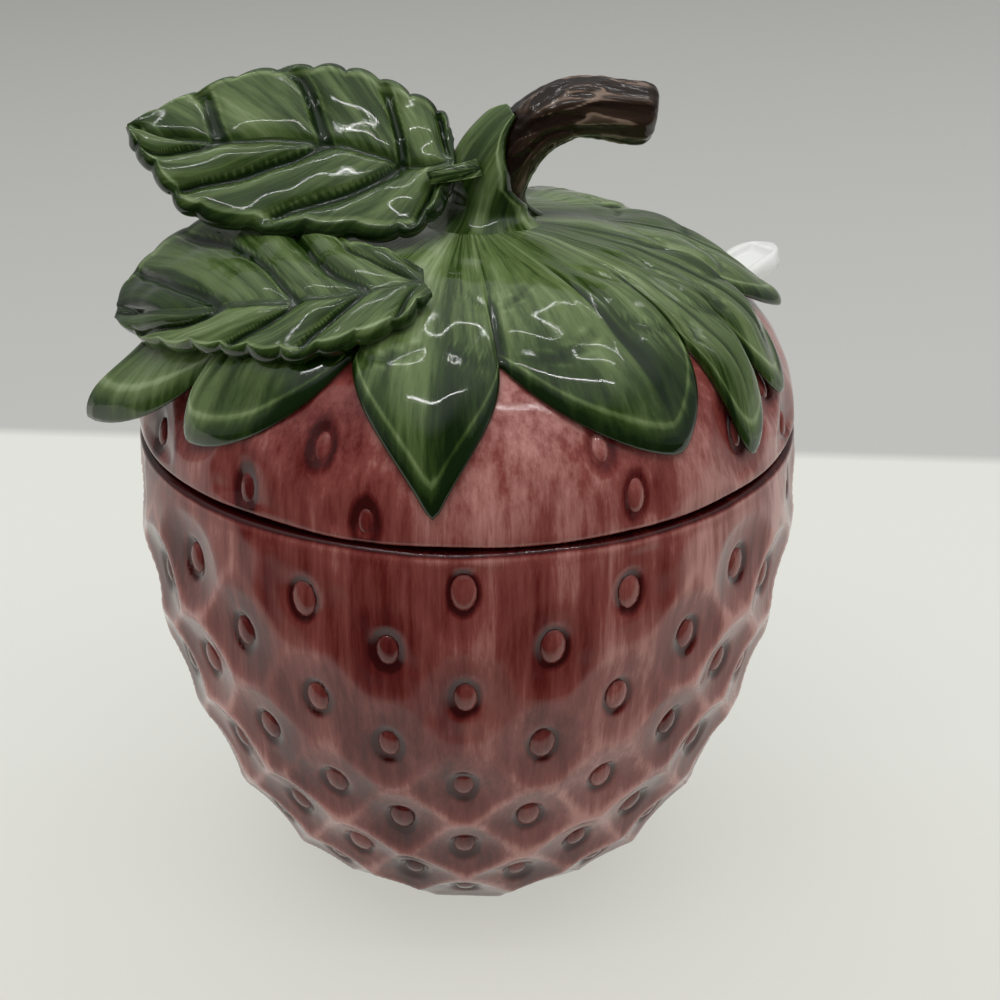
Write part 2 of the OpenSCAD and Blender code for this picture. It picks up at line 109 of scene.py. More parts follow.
def lumps(points, scale, seed):
    shift = Vector((seed * 7.3, seed * 3.1, seed * 5.7))
    flat = np.asarray(points, float).reshape(-1, 3)
    values = [noise.noise(Vector(p) / scale + shift) for p in flat.tolist()]
    return np.array(values).reshape(np.asarray(points).shape[:-1])


def addPiece(name, points, faces, attributes=None):
    mesh = bpy.data.meshes.new(name)
    mesh.from_pydata((np.asarray(points) * 0.001).tolist(), [], faces)
    mesh.update()
    for key, values in (attributes or {}).items():
        values = np.asarray(values, np.float32)
        kind = "FLOAT_VECTOR" if values.ndim == 2 else "FLOAT"
        layer = mesh.attributes.new(key, kind, "POINT")
        layer.data.foreach_set("vector" if values.ndim == 2 else "value", values.ravel())
    mesh.shade_smooth()
    piece = bpy.data.objects.new(name, mesh)
    scene.collection.objects.link(piece)
    return piece


def sheetPiece(name, top, under, attributes=None):
    rows, cols = top.shape[:2]
    count = rows * cols
    at = lambda i, j: i * cols + j
    low = lambda i, j: count + i * cols + j
    faces = []
    for i in range(rows - 1):
        for j in range(cols - 1):
            faces.append((at(i, j), at(i, j + 1), at(i + 1, j + 1), at(i + 1, j)))
            faces.append((low(i, j), low(i + 1, j), low(i + 1, j + 1), low(i, j + 1)))
    for j in range(cols - 1):
        faces.append((at(0, j), low(0, j), low(0, j + 1), at(0, j + 1)))
        faces.append((at(rows - 1, j), at(rows - 1, j + 1), low(rows - 1, j + 1), low(rows - 1, j)))
    for i in range(rows - 1):
        faces.append((at(i, 0), at(i + 1, 0), low(i + 1, 0), low(i, 0)))
        faces.append((at(i, cols - 1), low(i, cols - 1), low(i + 1, cols - 1), at(i + 1, cols - 1)))
    points = np.concatenate([top.reshape(-1, 3), under.reshape(-1, 3)])
    both = {}
    for key, v in (attributes or {}).items():
        both[key] = np.concatenate([v.reshape(count, -1)] * 2).squeeze()
    return addPiece(name, points, faces, both)


def ringPiece(name, rings, startPoint, endPoint, attributes=None):
    rows, cols = rings.shape[:2]
    at = lambda i, j: i * cols + j % cols
    faces = []
    for i in range(rows - 1):
        faces += [(at(i, j), at(i, j + 1), at(i + 1, j + 1), at(i + 1, j)) for j in range(cols)]
    start, end = rows * cols, rows * cols + 1
    faces += [(start, at(0, j + 1), at(0, j)) for j in range(cols)]
    faces += [(end, at(rows - 1, j), at(rows - 1, j + 1)) for j in range(cols)]
    points = np.concatenate([rings.reshape(-1, 3), [startPoint, endPoint]])
    full = {}
    for key, v in (attributes or {}).items():
        flat = v.reshape(rows * cols, -1)
        full[key] = np.concatenate([flat, flat[:1], flat[-1:]]).squeeze()
    return addPiece(name, points, faces, full)


# shader helpers
def tone(r, g, b):
    linear = [c / 255 / 12.92 if c < 10.3 else ((c / 255 + 0.055) / 1.055) ** 2.4 for c in (r, g, b)]
    return (*linear, 1)


def setInputs(tree, made, inputs):
    # a socket is linked, and a value is set
    for key, value in inputs.items():
        if isinstance(value, bpy.types.NodeSocket):
            tree.links.new(value, made.inputs[key])
        else:
            made.inputs[key].default_value = value
    return made


def addNode(tree, kind, inputs=None, **settings):
    made = tree.nodes.new(kind)
    for key, value in settings.items():
        setattr(made, key, value)
    return setInputs(tree, made, inputs or {})


def addSocket(tree, label, kind, way="INPUT"):
    return tree.interface.new_socket(label, in_out=way, socket_type="NodeSocket" + kind)


def addMath(tree, operation, a, b, clamp=False):
    return addNode(tree, "ShaderNodeMath", {0: a, 1: b}, operation=operation, use_clamp=clamp).outputs[0]


def addRange(tree, value, fromMin, fromMax, toMin=0.0, toMax=1.0):
    inputs = {"Value": value, "From Min": fromMin, "From Max": fromMax, "To Min": toMin, "To Max": toMax}
    return addNode(tree, "ShaderNodeMapRange", inputs).outputs[0]


def addBlend(tree, factor, a, b):
    return addNode(tree, "ShaderNodeMix", {0: factor, 2: a, 3: b}).outputs[0]


def addTint(tree, factor, a, b, way="MIX"):
    made = addNode(tree, "ShaderNodeMix", {0: factor, 6: a, 7: b}, data_type="RGBA", blend_type=way)
    return made.outputs[2]


def addNoise(tree, place, scale, detail, roughness=0.5):
    inputs = {"Vector": place, "Scale": scale, "Detail": detail, "Roughness": roughness}
    return addNode(tree, "ShaderNodeTexNoise", inputs).outputs["Fac"]


def addRamp(tree, factor, stops):
    ramp = addNode(tree, "ShaderNodeValToRGB", {"Fac": factor})
    while len(ramp.color_ramp.elements) < len(stops):
        ramp.color_ramp.elements.new(0.5)
    for element, (place, colour) in zip(ramp.color_ramp.elements, stops):
        element.position = place
        element.color = colour
    return ramp.outputs["Color"]


brush = {"broadScale": 0.28, "broadShare": 0.45, "streakSpan": (0.32, 0.68), "poolSpan": (0.3, 0.7)}


def brushGroup():
    # streaks and pools of a glaze that was laid on with a brush
    tree = bpy.data.node_groups.new("brushedGlaze", "ShaderNodeTree")
    addSocket(tree, "Vector", "Vector")
    for label, value in (("Streak Scale", 300.0), ("Pool Scale", 40.0), ("Fineness", 0.6), ("Seed", 0.0)):
        addSocket(tree, label, "Float").default_value = value
    for label in ("Streaks", "Pools", "Height"):
        addSocket(tree, label, "Float", "OUTPUT")
    given = tree.nodes.new("NodeGroupInput").outputs
    seeded = {0: given["Vector"], 1: given["Seed"]}
    moved = addNode(tree, "ShaderNodeVectorMath", seeded, operation="ADD").outputs[0]
    fine = addNoise(tree, moved, given["Streak Scale"], 6.0, given["Fineness"])
    broadScale = addMath(tree, "MULTIPLY", given["Streak Scale"], brush["broadScale"])
    both = addBlend(tree, brush["broadShare"], fine, addNoise(tree, moved, broadScale, 3.0))
    pools = addNoise(tree, given["Vector"], given["Pool Scale"], 3.0, 0.55)
    streaks = addRange(tree, both, *brush["streakSpan"])
    pooled = addRange(tree, pools, *brush["poolSpan"])
    addNode(tree, "NodeGroupOutput", {"Streaks": streaks, "Pools": pooled, "Height": both})
    return tree


brushedGlaze = brushGroup()


def newMaterial(name):
    material = bpy.data.materials.new(name)
    material.use_nodes = True
    tree = material.node_tree
    return material, tree, tree.nodes["Principled BSDF"]


def addBrush(tree, vector, look):
    given = {key: look[key] for key in ("Streak Scale", "Pool Scale", "Fineness", "Seed")}
    return addNode(tree, "ShaderNodeGroup", {"Vector": vector, **given}, node_tree=brushedGlaze).outputs


def glaze(name, look):
    material, tree, shader = newMaterial(name)
    if look["flow"]:
        source = addNode(tree, "ShaderNodeAttribute", attribute_name="flow").outputs["Vector"]
    else:
        source = tree.nodes.new("ShaderNodeTexCoord").outputs["Object"]
    mapped = addNode(tree, "ShaderNodeMapping", {"Vector": source, "Scale": look["stretch"]}).outputs[0]
    strokes = addBrush(tree, mapped, look)
    hollow = addNode(tree, "ShaderNodeAttribute", attribute_name="hollow").outputs["Fac"]
    if look["outline"]:
        # a painted shadow ring round each seed, by the distance in millimetres that its skin holds
        gap = addNode(tree, "ShaderNodeAttribute", attribute_name="seedGap").outputs["Fac"]
        starts, full, fades, ends = look["ring"]
        ring = addMath(tree, "MULTIPLY", addRange(tree, gap, starts, full), addRange(tree, gap, ends, fades))
        hollow = addMath(tree, "ADD", hollow, addMath(tree, "MULTIPLY", ring, look["outline"]))
    # the hollow attribute darkens or pales the glaze: pooled glaze, painted shade and painted highlights
    sunk = addMath(tree, "MULTIPLY", hollow, look["poolingAndShade"])
    streaks = addMath(tree, "MULTIPLY", strokes["Streaks"], look["streakShare"])
    pools = addMath(tree, "MULTIPLY", strokes["Pools"], 1 - look["streakShare"])
    level = addMath(tree, "SUBTRACT", addMath(tree, "ADD", streaks, pools), sunk, clamp=True)
    colour = addRamp(tree, level, look["colours"])
    rough = addRange(tree, strokes["Streaks"], 0.0, 1.0, *look["roughness"])
    raised = {"Height": strokes["Height"], "Strength": look["bump"], "Distance": glazeBody["strokeHeight"]}
    normal = addNode(tree, "ShaderNodeBump", raised).outputs[0]
    setInputs(tree, shader, {
        "Base Color": colour, "Roughness": rough, "Normal": normal, "Coat Weight": look["coat"],
        "Coat Roughness": glazeBody["coatRoughness"], "IOR": glazeBody["ior"]})
    return material


glazeBody = {"strokeHeight": 0.0004, "coatRoughness": 0.02, "ior": 1.5}
redLook = {
    "flow": False, "stretch": (1, 1, 0.07), "Streak Scale": 800.0, "Pool Scale": 60.0, "Fineness": 0.72,
    "Seed": 0.0, "streakShare": 0.5, "poolingAndShade": 0.5, "bump": 0.1, "coat": 0.1, "roughness": (0.06, 0.14),
    "outline": 0.55, "ring": (1.2, 1.8, 2.1, 2.8),
    "colours": [(0.1, tone(54, 8, 9)), (0.33, tone(90, 29, 27)), (0.62, tone(128, 66, 61)),
                (0.92, tone(178, 125, 118))]}
greenLook = {
    "flow": True, "stretch": (0.12, 1, 1), "Streak Scale": 700.0, "Pool Scale": 60.0, "Fineness": 0.66,
    "Seed": 3.0, "streakShare": 0.5, "poolingAndShade": 0.7, "bump": 0.1, "coat": 0.25, "roughness": (0.05, 0.13),
    "outline": 0.0,
    "colours": [(0.1, tone(12, 30, 4)), (0.32, tone(42, 61, 22)), (0.58, tone(90, 108, 64)),
                (0.86, tone(136, 152, 112))]}
brownLook = {
    "flow": True, "stretch": (0.12, 1, 1), "Streak Scale": 700.0, "Pool Scale": 120.0, "Fineness": 0.6,
    "Seed": 5.0, "streakShare": 0.5, "poolingAndShade": 0.5, "bump": 0.06, "coat": 0.0, "roughness": (0.1, 0.2),
    "outline": 0.0,
    "colours": [(0.0, tone(8, 3, 1)), (0.4, tone(26, 15, 9)), (0.65, tone(52, 38, 29)),
                (0.9, tone(118, 99, 86))]}
redGlaze = glaze("redGlaze", redLook)
greenGlaze = glaze("greenGlaze", greenLook)
brownGlaze = glaze("brownGlaze", brownLook)


def clearPlastic(look):
    material, tree, shader = newMaterial("clearPlastic")
    place = tree.nodes.new("ShaderNodeTexCoord").outputs["Object"]
    haze = addNoise(tree, place, look["hazeScale"], 4.0)
    rough = addRange(tree, haze, 0.0, 1.0, *look["roughness"])
    ripples = {"Height": haze, "Strength": look["bump"], "Distance": look["rippleHeight"]}
    normal = addNode(tree, "ShaderNodeBump", ripples).outputs[0]
    setInputs(tree, shader, {
        "Roughness": rough, "Normal": normal, "Base Color": look["colour"],
        "Transmission Weight": look["clear"], "IOR": look["ior"]})
    return material


plasticLook = {"colour": tone(252, 253, 251), "clear": 0.4, "ior": 1.49, "hazeScale": 150.0,
               "roughness": (0.02, 0.12), "bump": 0.05, "rippleHeight": 0.0003}
spoonPlastic = clearPlastic(plasticLook)
print("materials made")

# the strawberry's profile, from the seam downwards
pot = {"seamR": 51.5, "seamZ": 78.0, "footR": 22.0, "flankBulge": 39.8, "flankZ": 1.5,
       "shoulderBulge": 56.9, "shoulderShare": 0.65, "wall": 4.5,
       "floorT": 5.0, "lipW": 5.0, "edgeRound": 1.1, "gapWave": 0.3, "recess": 0.6, "landW": 2.5,
       "poleR": 2.0, "columns": 440, "rowStep": 0.58}
seeds = {"perRing": 14, "ringStep": 8.7, "firstRing": 6.3, "potRings": 9, "dimple": 1.6, "reach": 8.2,
         "pit": 0.45, "pitReach": 2.9, "length": 2.75, "width": 1.9, "height": 1.0, "proud": 0.75,
         "wander": 0.7, "sag": 2.6, "sizeSpread": 0.1, "seed": 11, "lumpy": 0.9, "frontDepth": 0.3,
         "frontTurn": 22, "turnFade": 30, "frontZ": 50, "zFade": 26, "crestW": 1.5, "crestPale": 0.9}
# the lid's seeds stand at these azimuths and heights along the dome's curve
lidSeeds = {"dimple": 1.0, "reach": 7.5, "pit": 0.25, "pitReach": 2.2, "length": 2.3, "width": 1.35,
            "height": 0.8, "proud": 0.6, "sizeSpread": 0.15, "lumpy": 1.3, "seed": 4,
            "spots": [(233, 4.2), (254.5, 3.2), (297, 5.5), (321, 9), (341, 3.5), (246, 13), (292, 13),
                      (206, 5), (335, 13), (12, 10), (80, 5), (104, 5.5), (128, 5), (154, 5), (180, 5.5),
                      (92, 11.5), (118, 12), (166, 12), (218, 12)]}
mouthR = pot["seamR"] - pot["lipW"]
seamZ = pot["seamZ"]


def profile(line):
    # the place on a line of radius and height, and the way out of it, by the length run along it
    run = runAlong(line)

    def at(s):
        return np.stack([np.interp(s, run, line[:, 0]), np.interp(s, run, line[:, 1])], -1)

    def out(s):
        d = at(np.asarray(s) + 0.5) - at(np.asarray(s) - 0.5)
        return unit(np.stack([-d[..., 1], d[..., 0]], -1))

    return at, out, run[-1]


potAt, potOut, potLength = profile(bezier([
    (pot["footR"], 0), (pot["flankBulge"], pot["flankZ"]),
    (pot["shoulderBulge"], seamZ * pot["shoulderShare"]), (pot["seamR"], seamZ)], np.linspace(1, 0, 400)))
dome = {"height": 29.5, "power": 2.3, "flangeD": 5.0, "flangeT": 3.5, "flangeGap": 0.6, "flangeSoft": 0.8}
domeTurn = np.radians(np.linspace(0, 90, 400))
domeAt, domeOut, domeLength = profile(np.stack([
    pot["seamR"] * np.sin(domeTurn) ** (2 / dome["power"]),
    seamZ + dome["height"] * np.maximum(np.cos(domeTurn), 0) ** (2 / dome["power"])], -1))
topZ = seamZ + dome["height"]


def around(line, angle):
    # points of radius and height, turned round the pot's axis
    r, z = line[..., 0], line[..., 1]
    return np.stack([r * np.cos(angle), r * np.sin(angle), z + 0 * angle], -1)


def turned(line, columns):
    # a line of radius and height, spun round the pot's axis
    return around(line[:, None], np.linspace(0, 2 * np.pi, columns, endpoint=False) - np.pi / 2)


def depthShare(azimuth, z):
    # the dimples are faint high up on the front, and full at the sides and below
    off = np.abs((np.asarray(azimuth) - 90) % 360 - 180)
    aside = smooth((off - seeds["frontTurn"]) / seeds["turnFade"])
    below = smooth((seeds["frontZ"] - np.asarray(z)) / seeds["zFade"])
    return seeds["frontDepth"] + (1 - seeds["frontDepth"]) * np.maximum(aside, below)


def seamWave(turn, seed):
    # hand-fettled edges: how far each edge stands back from the seam, by azimuth in degrees
    a = np.radians(turn)
    ringSpots = np.stack([np.cos(a), np.sin(a), 0 * a], -1) * 3.2
    return pot["gapWave"] * np.clip(0.8 + 1.6 * lumps(ringSpots, 1.0, seed), 0, 1.8)


def spun(x, y, azimuth):
    # a point turned round the pot's axis
    turn = math.radians(azimuth)
    return x * math.cos(turn) - y * math.sin(turn), x * math.sin(turn) + y * math.cos(turn)


def markerPiece(name, spots, at, out):
    # one vertex for each seed, with the directions that the seed lies along
    places, outward, along = [], [], []
    deep = [float(depthShare(azimuth, at(s)[1])) for azimuth, s in spots]
    for azimuth, s in spots:
        n = out(s)
        for row, v in ((places, at(s)), (outward, n), (along, (-n[1], n[0]))):
            row.append((*spun(v[0], 0, azimuth), v[1]))
    return addPiece(name, places, [], {"outward": outward, "along": along, "deep": deep})


def potSpots():
    # staggered rings, level at the front, sides and back, that sag in between as hand-pressed ones do
    rng = np.random.default_rng(seeds["seed"])
    half = 180 / seeds["perRing"]
    spots = []
    for ring in range(seeds["potRings"]):
        for step in range(seeds["perRing"]):
            azimuth = 270 + half * (2 * step + (ring % 2)) + rng.uniform(-1, 1) * seeds["wander"]
            sag = seeds["sag"] * (1 - math.cos(math.radians(4 * (azimuth - 270))))
            spots.append((azimuth, seeds["firstRing"] + seeds["ringStep"] * ring + sag
                          + rng.uniform(-1, 1) * seeds["wander"]))
    return spots


def crestLines(rings, spots):
    # 1 along the crest between two dimples, where the skin is painted paler: a painted highlight, partly thin
    # glaze
    turns = np.radians([azimuth for azimuth, s in spots])
    marks = around(np.array([potAt(s) for azimuth, s in spots]), turns)
    crests = np.zeros(rings.shape[:2])
    for k, ring in enumerate(rings):
        away = np.partition(np.linalg.norm(ring[:, None, :] - marks[None, :, :], axis=-1), 1, axis=-1)
        crests[k] = hump(away[:, 1] - away[:, 0], 0, seeds["crestW"])
    return crests


# how the red glaze is painted darker in a dimple and a pit, as pooled glaze and painted shade, and paler on a
# crest, as thin glaze and a painted highlight, as shares of the tone
skinTone = {"level": 0.45, "front": 0.25, "aside": 0.4, "pit": 0.5, "bowl": 0.6, "crest": 0.5, "seed": 0.12,
            "pitFloor": 0.6, "lumpScale": 85.0}


def seededSkin():
    # dimples sink round each marker, and a seed sits in each dimple
    tree = bpy.data.node_groups.new("seededSkin", "GeometryNodeTree")
    addSocket(tree, "Geometry", "Geometry")
    addSocket(tree, "Markers", "Object")
    for label in ("Dimple Depth", "Dimple Reach", "Pit Depth", "Pit Reach", "Seed Length", "Seed Width",
                  "Seed Height", "Seed Proud", "Size Spread", "Lump Height"):
        addSocket(tree, label, "Float")
    addSocket(tree, "Random Seed", "Int")
    addSocket(tree, "Glaze", "Material")
    addSocket(tree, "Geometry", "Geometry", "OUTPUT")
    given = tree.nodes.new("NodeGroupInput").outputs
    node = lambda kind, inputs=None, **settings: addNode(tree, kind, inputs, **settings)
    plus = lambda a, b: addMath(tree, "ADD", a, b)
    less = lambda a, b: addMath(tree, "SUBTRACT", a, b)
    times = lambda a, b: addMath(tree, "MULTIPLY", a, b)
    scaled = lambda v, by: node("ShaderNodeVectorMath", {0: v, "Scale": by}, operation="SCALE").outputs[0]
    read = lambda key, kind: node("GeometryNodeInputNamedAttribute", {"Name": key}, data_type=kind).outputs[0]

    def keep(shape, key, value):
        inputs = {"Geometry": shape, "Name": key, "Value": value}
        return node("GeometryNodeStoreNamedAttribute", inputs, data_type="FLOAT", domain="POINT").outputs[0]

    # how far each point of the skin is from its marker
    marks = node("GeometryNodeObjectInfo", {"Object": given["Markers"]}).outputs["Geometry"]
    prox = node("GeometryNodeProximity", {0: marks}, target_element="POINTS").outputs
    near = prox["Distance"]
    place = node("GeometryNodeInputPosition").outputs[0]
    along = read("along", "FLOAT_VECTOR")
    closest = node("GeometryNodeSampleNearest", {"Geometry": marks}, domain="POINT").outputs[0]
    picked = node("GeometryNodeSampleIndex", {"Geometry": marks, "Index": closest},
                  data_type="FLOAT_VECTOR", domain="POINT")
    tree.links.new(along, [s for s in picked.inputs if s.enabled and s.name == "Value"][0])
    away = node("ShaderNodeVectorMath", {0: place, 1: prox["Position"]}, operation="SUBTRACT").outputs[0]
    lean = node("ShaderNodeVectorMath", {0: away, 1: picked.outputs[0]}, operation="DOT_PRODUCT")
    upward = lean.outputs["Value"]
    # a distance that is measured in widths of a seed, so that the pits are oval like the seeds
    slim = addMath(tree, "DIVIDE", given["Seed Width"], given["Seed Length"])
    squash = less(1.0, times(slim, slim))
    square = addMath(tree, "SUBTRACT", times(near, near), times(times(upward, upward), squash), clamp=True)
    oval = node("ShaderNodeMath", {0: square}, operation="SQRT").outputs[0]

    # dimple, pit and low lumps
    deep, fade, shade = [read(key, "FLOAT") for key in ("deep", "skin", "shade")]
    far = addMath(tree, "DIVIDE", near, given["Dimple Reach"], clamp=True)
    bowl = less(1.0, times(far, far))
    dipShare = times(times(bowl, fade), deep)
    pitFloor = times(given["Pit Reach"], skinTone["pitFloor"])
    hole = node("ShaderNodeMapRange", {"Value": oval, "From Min": given["Pit Reach"], "From Max": pitFloor},
                interpolation_type="SMOOTHSTEP").outputs[0]
    pitShare = times(hole, fade)
    wave = addNoise(tree, place, skinTone["lumpScale"], 1.5)
    lump = times(times(less(wave, 0.5), given["Lump Height"]), fade)
    sink = plus(times(dipShare, given["Dimple Depth"]), times(pitShare, given["Pit Depth"]))

    # the glaze is painted darker in the dimples and pits, as pooled glaze and painted shade, and paler over
    # the ridges, as thin glaze and a painted highlight
    toned = plus(times(deep, skinTone["aside"]), skinTone["front"])
    ridge = times(less(skinTone["level"], bowl), times(fade, toned))
    crest = addMath(tree, "MAXIMUM", ridge, 0.0)
    dark = plus(times(pitShare, skinTone["pit"]), times(ridge, -skinTone["bowl"]))
    dark = less(dark, times(crest, skinTone["crest"]))
    stored = keep(given["Geometry"], "hollow", plus(dark, shade))
    measured = keep(stored, "seedGap", times(oval, 1000.0))
    offset = scaled(node("GeometryNodeInputNormal").outputs[0], less(lump, sink))
    skin = node("GeometryNodeSetPosition", {"Geometry": measured, "Offset": offset}).outputs[0]

    # one seed on each marker
    ball = node("GeometryNodeMeshUVSphere", {"Segments": 12, "Rings": 7, "Radius": 1.0}).outputs["Mesh"]
    outward = read("outward", "FLOAT_VECTOR")
    down = node("FunctionNodeAlignRotationToVector", {"Vector": along}, axis="Z").outputs[0]
    facing = node("FunctionNodeAlignRotationToVector", {"Rotation": down, "Vector": outward}, axis="Y",
                  pivot_axis="Z").outputs[0]
    size = node("ShaderNodeCombineXYZ",
                {"X": given["Seed Width"], "Y": given["Seed Height"], "Z": given["Seed Length"]}).outputs[0]
    spread = node("FunctionNodeRandomValue", {"Seed": given["Random Seed"]}, data_type="FLOAT")
    least, most = [s for s in spread.inputs if s.enabled and s.name in ("Min", "Max")]
    tree.links.new(less(1.0, given["Size Spread"]), least)
    tree.links.new(plus(1.0, given["Size Spread"]), most)
    factor = [s for s in spread.outputs if s.enabled][0]
    depth = less(given["Seed Proud"], given["Seed Height"])
    depth = less(less(depth, times(given["Dimple Depth"], deep)), given["Pit Depth"])
    laid = node("GeometryNodeSetPosition", {"Geometry": marks, "Offset": scaled(outward, depth)}).outputs[0]
    grown = node("GeometryNodeInstanceOnPoints", {"Points": laid, "Instance": ball, "Rotation": facing,
                                                  "Scale": scaled(size, factor)}).outputs[0]
    real = node("GeometryNodeRealizeInstances", {"Geometry": grown}).outputs[0]
    joined = node("GeometryNodeJoinGeometry")
    tree.links.new(keep(real, "hollow", skinTone["seed"]), joined.inputs[0])
    tree.links.new(skin, joined.inputs[0])
    soft = node("GeometryNodeSetShadeSmooth", {"Geometry": joined.outputs[0], "Shade Smooth": True})
    glazed = node("GeometryNodeSetMaterial", {"Geometry": soft.outputs[0], "Material": given["Glaze"]})
    tree.links.new(glazed.outputs[0], tree.nodes.new("NodeGroupOutput").inputs[0])
    return tree


seedTree = seededSkin()


def bakeModifiers(piece):
    bpy.context.view_layer.update()
    solved = piece.evaluated_get(bpy.context.evaluated_depsgraph_get())
    mesh = bpy.data.meshes.new_from_object(solved)
    piece.modifiers.clear()
    piece.data = mesh
    mesh.name = piece.name


def growSeeds(piece, markers, glazeMaterial, size):
    step = piece.modifiers.new("seededSkin", "NODES")
    step.node_group = seedTree
    lengths = {"Dimple Depth": "dimple", "Dimple Reach": "reach", "Pit Depth": "pit", "Pit Reach": "pitReach",
               "Seed Length": "length", "Seed Width": "width", "Seed Height": "height", "Seed Proud": "proud",
               "Lump Height": "lumpy"}
    values = {label: size[key] / 1000 for label, key in lengths.items()}
    values.update({"Markers": markers, "Size Spread": size["sizeSpread"], "Random Seed": size["seed"],
                   "Glaze": glazeMaterial})
    for item in seedTree.interface.items_tree:
        if item.in_out == "INPUT" and item.name in values:
            step[item.identifier] = values[item.name]
    bakeModifiers(piece)
    bpy.data.objects.remove(markers)


def seamEdge(rings, seed, way):
    # the hand-trimmed edge stands back from the seam, more here and less there; the azimuths come back
    turn = np.degrees(np.arctan2(rings[..., 1], rings[..., 0]))
    outside = np.clip((np.hypot(rings[..., 0], rings[..., 1]) - mouthR - 2.0) / 2, 0, 1)
    near = smooth((way * (rings[..., 2] - seamZ) + 4) / 4)
    rings[..., 2] -= way * seamWave(turn[0], seed)[None, :] * near * outside
    return turn


def potBody():
    e, recess, poleR = pot["edgeRound"], pot["recess"], pot["poleR"]
    outer = np.linspace(potLength, e, int(potLength / pot["rowStep"]))
    bend = np.radians(np.linspace(0, 90, 6))[1:]
    edge = np.stack([potAt(e)[0] - e + e * np.cos(bend), seamZ - e + e * np.sin(bend)], -1)
    seat = np.array([[mouthR + 0.4, seamZ], [mouthR, seamZ - 0.4], [mouthR, seamZ - dome["flangeD"] - 1.5]])
    inner = np.array([potAt(s) - pot["wall"] * potOut(s) for s in np.linspace(12, potLength, 18)])
    inner = inner[(inner[:, 1] > pot["floorT"] + 0.5) & (inner[:, 1] < seamZ - dome["flangeD"] - 6)]
    floorR, floorZ = inner[-1][0] - 4, pot["floorT"]
    bottom = np.array([[floorR + 2, floorZ + 0.15], [floorR, floorZ], [poleR, floorZ]])
    landR = pot["footR"] - pot["landW"]
    base = np.array([[poleR, recess], [landR - 1.5, recess], [landR, 0]])
    line = np.concatenate([base, potAt(outer), edge, seat, inner, bottom])
    rings = turned(line, pot["columns"])
    skin = np.zeros(len(line))
    shade = np.zeros(len(line))
    rows = slice(len(base), len(base) + len(outer))
    skin[rows] = smooth((outer - 0.8) / 2.5) * smooth((potLength - outer) / 6)
    # painted shade on the pot's upper band, and a painted highlight on the rounded edge by the seam
    shade[rows] = 0.12 * smooth(1.6 - outer / 30) - 0.4 * smooth(1 - (outer - 0.8) / 1.4)
    # painted shade on the seat and the inside below the seam
    shade[rows.stop + 1:] = 1.0
    ones = np.ones(pot["columns"])
    turn = seamEdge(rings, 21, 1)
    deep = depthShare(turn, rings[..., 2])
    shade = shade[:, None] * ones
    spots = potSpots()
    # painted highlight along the crests between the dimples, partly thin glaze
    paintedGleam = seeds["crestPale"] * (deep[rows] - seeds["frontDepth"]) * crestLines(rings[rows], spots)
    shade[rows] -= paintedGleam * skin[rows, None]
    piece = ringPiece("potBody", rings, (0, 0, recess), (0, 0, floorZ),
                      {"skin": skin[:, None] * ones, "shade": shade, "deep": deep})
    growSeeds(piece, markerPiece("potMarks", spots, potAt, potOut), redGlaze, seeds)
    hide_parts("pot_body")
    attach(piece, "pot")


potBody()
print("pot made")

spoon = {"azimuth": 35.0, "tilt": 44.0, "bowlL": 34.0, "bowlW": 10.0, "shaftW": 3.0, "shaftT": 2.4,
         "thumbL": 14.0, "notchGap": 2.0, "inside": 100.5, "thumbBend": 42.0, "bowlDepth": 4.5, "bowlT": 1.6}
spoonTilt = math.radians(spoon["tilt"])
shaftLift = 0.5 * spoon["shaftT"] / math.cos(spoonTilt) + 0.5


def shaftZ(r):
    return seamZ + shaftLift + (r - mouthR) * math.tan(spoonTilt)


def slotCutter():
    half = spoon["shaftW"] + spoon["notchGap"]
    crown = shaftZ(pot["seamR"]) + shaftLift + 0.5 - half
    a = np.radians(np.linspace(0, 180, 25))
    foot = seamZ - dome["flangeD"] - 1
    outline = [(half, foot)] + [(half * math.cos(t), crown + half * math.sin(t)) for t in a] + [(-half, foot)]
    n = len(outline)
    points = [(x, y, z) for x in (mouthR - 10, mouthR + 14) for y, z in outline]
    faces = [tuple(range(n))[::-1], tuple(range(n, 2 * n))]
    faces += [(i, (i + 1) % n, n + (i + 1) % n, n + i) for i in range(n)]
    points = [(*spun(x, y, spoon["azimuth"]), z) for x, y, z in points]
    return addPiece("slotCutter", points, faces)


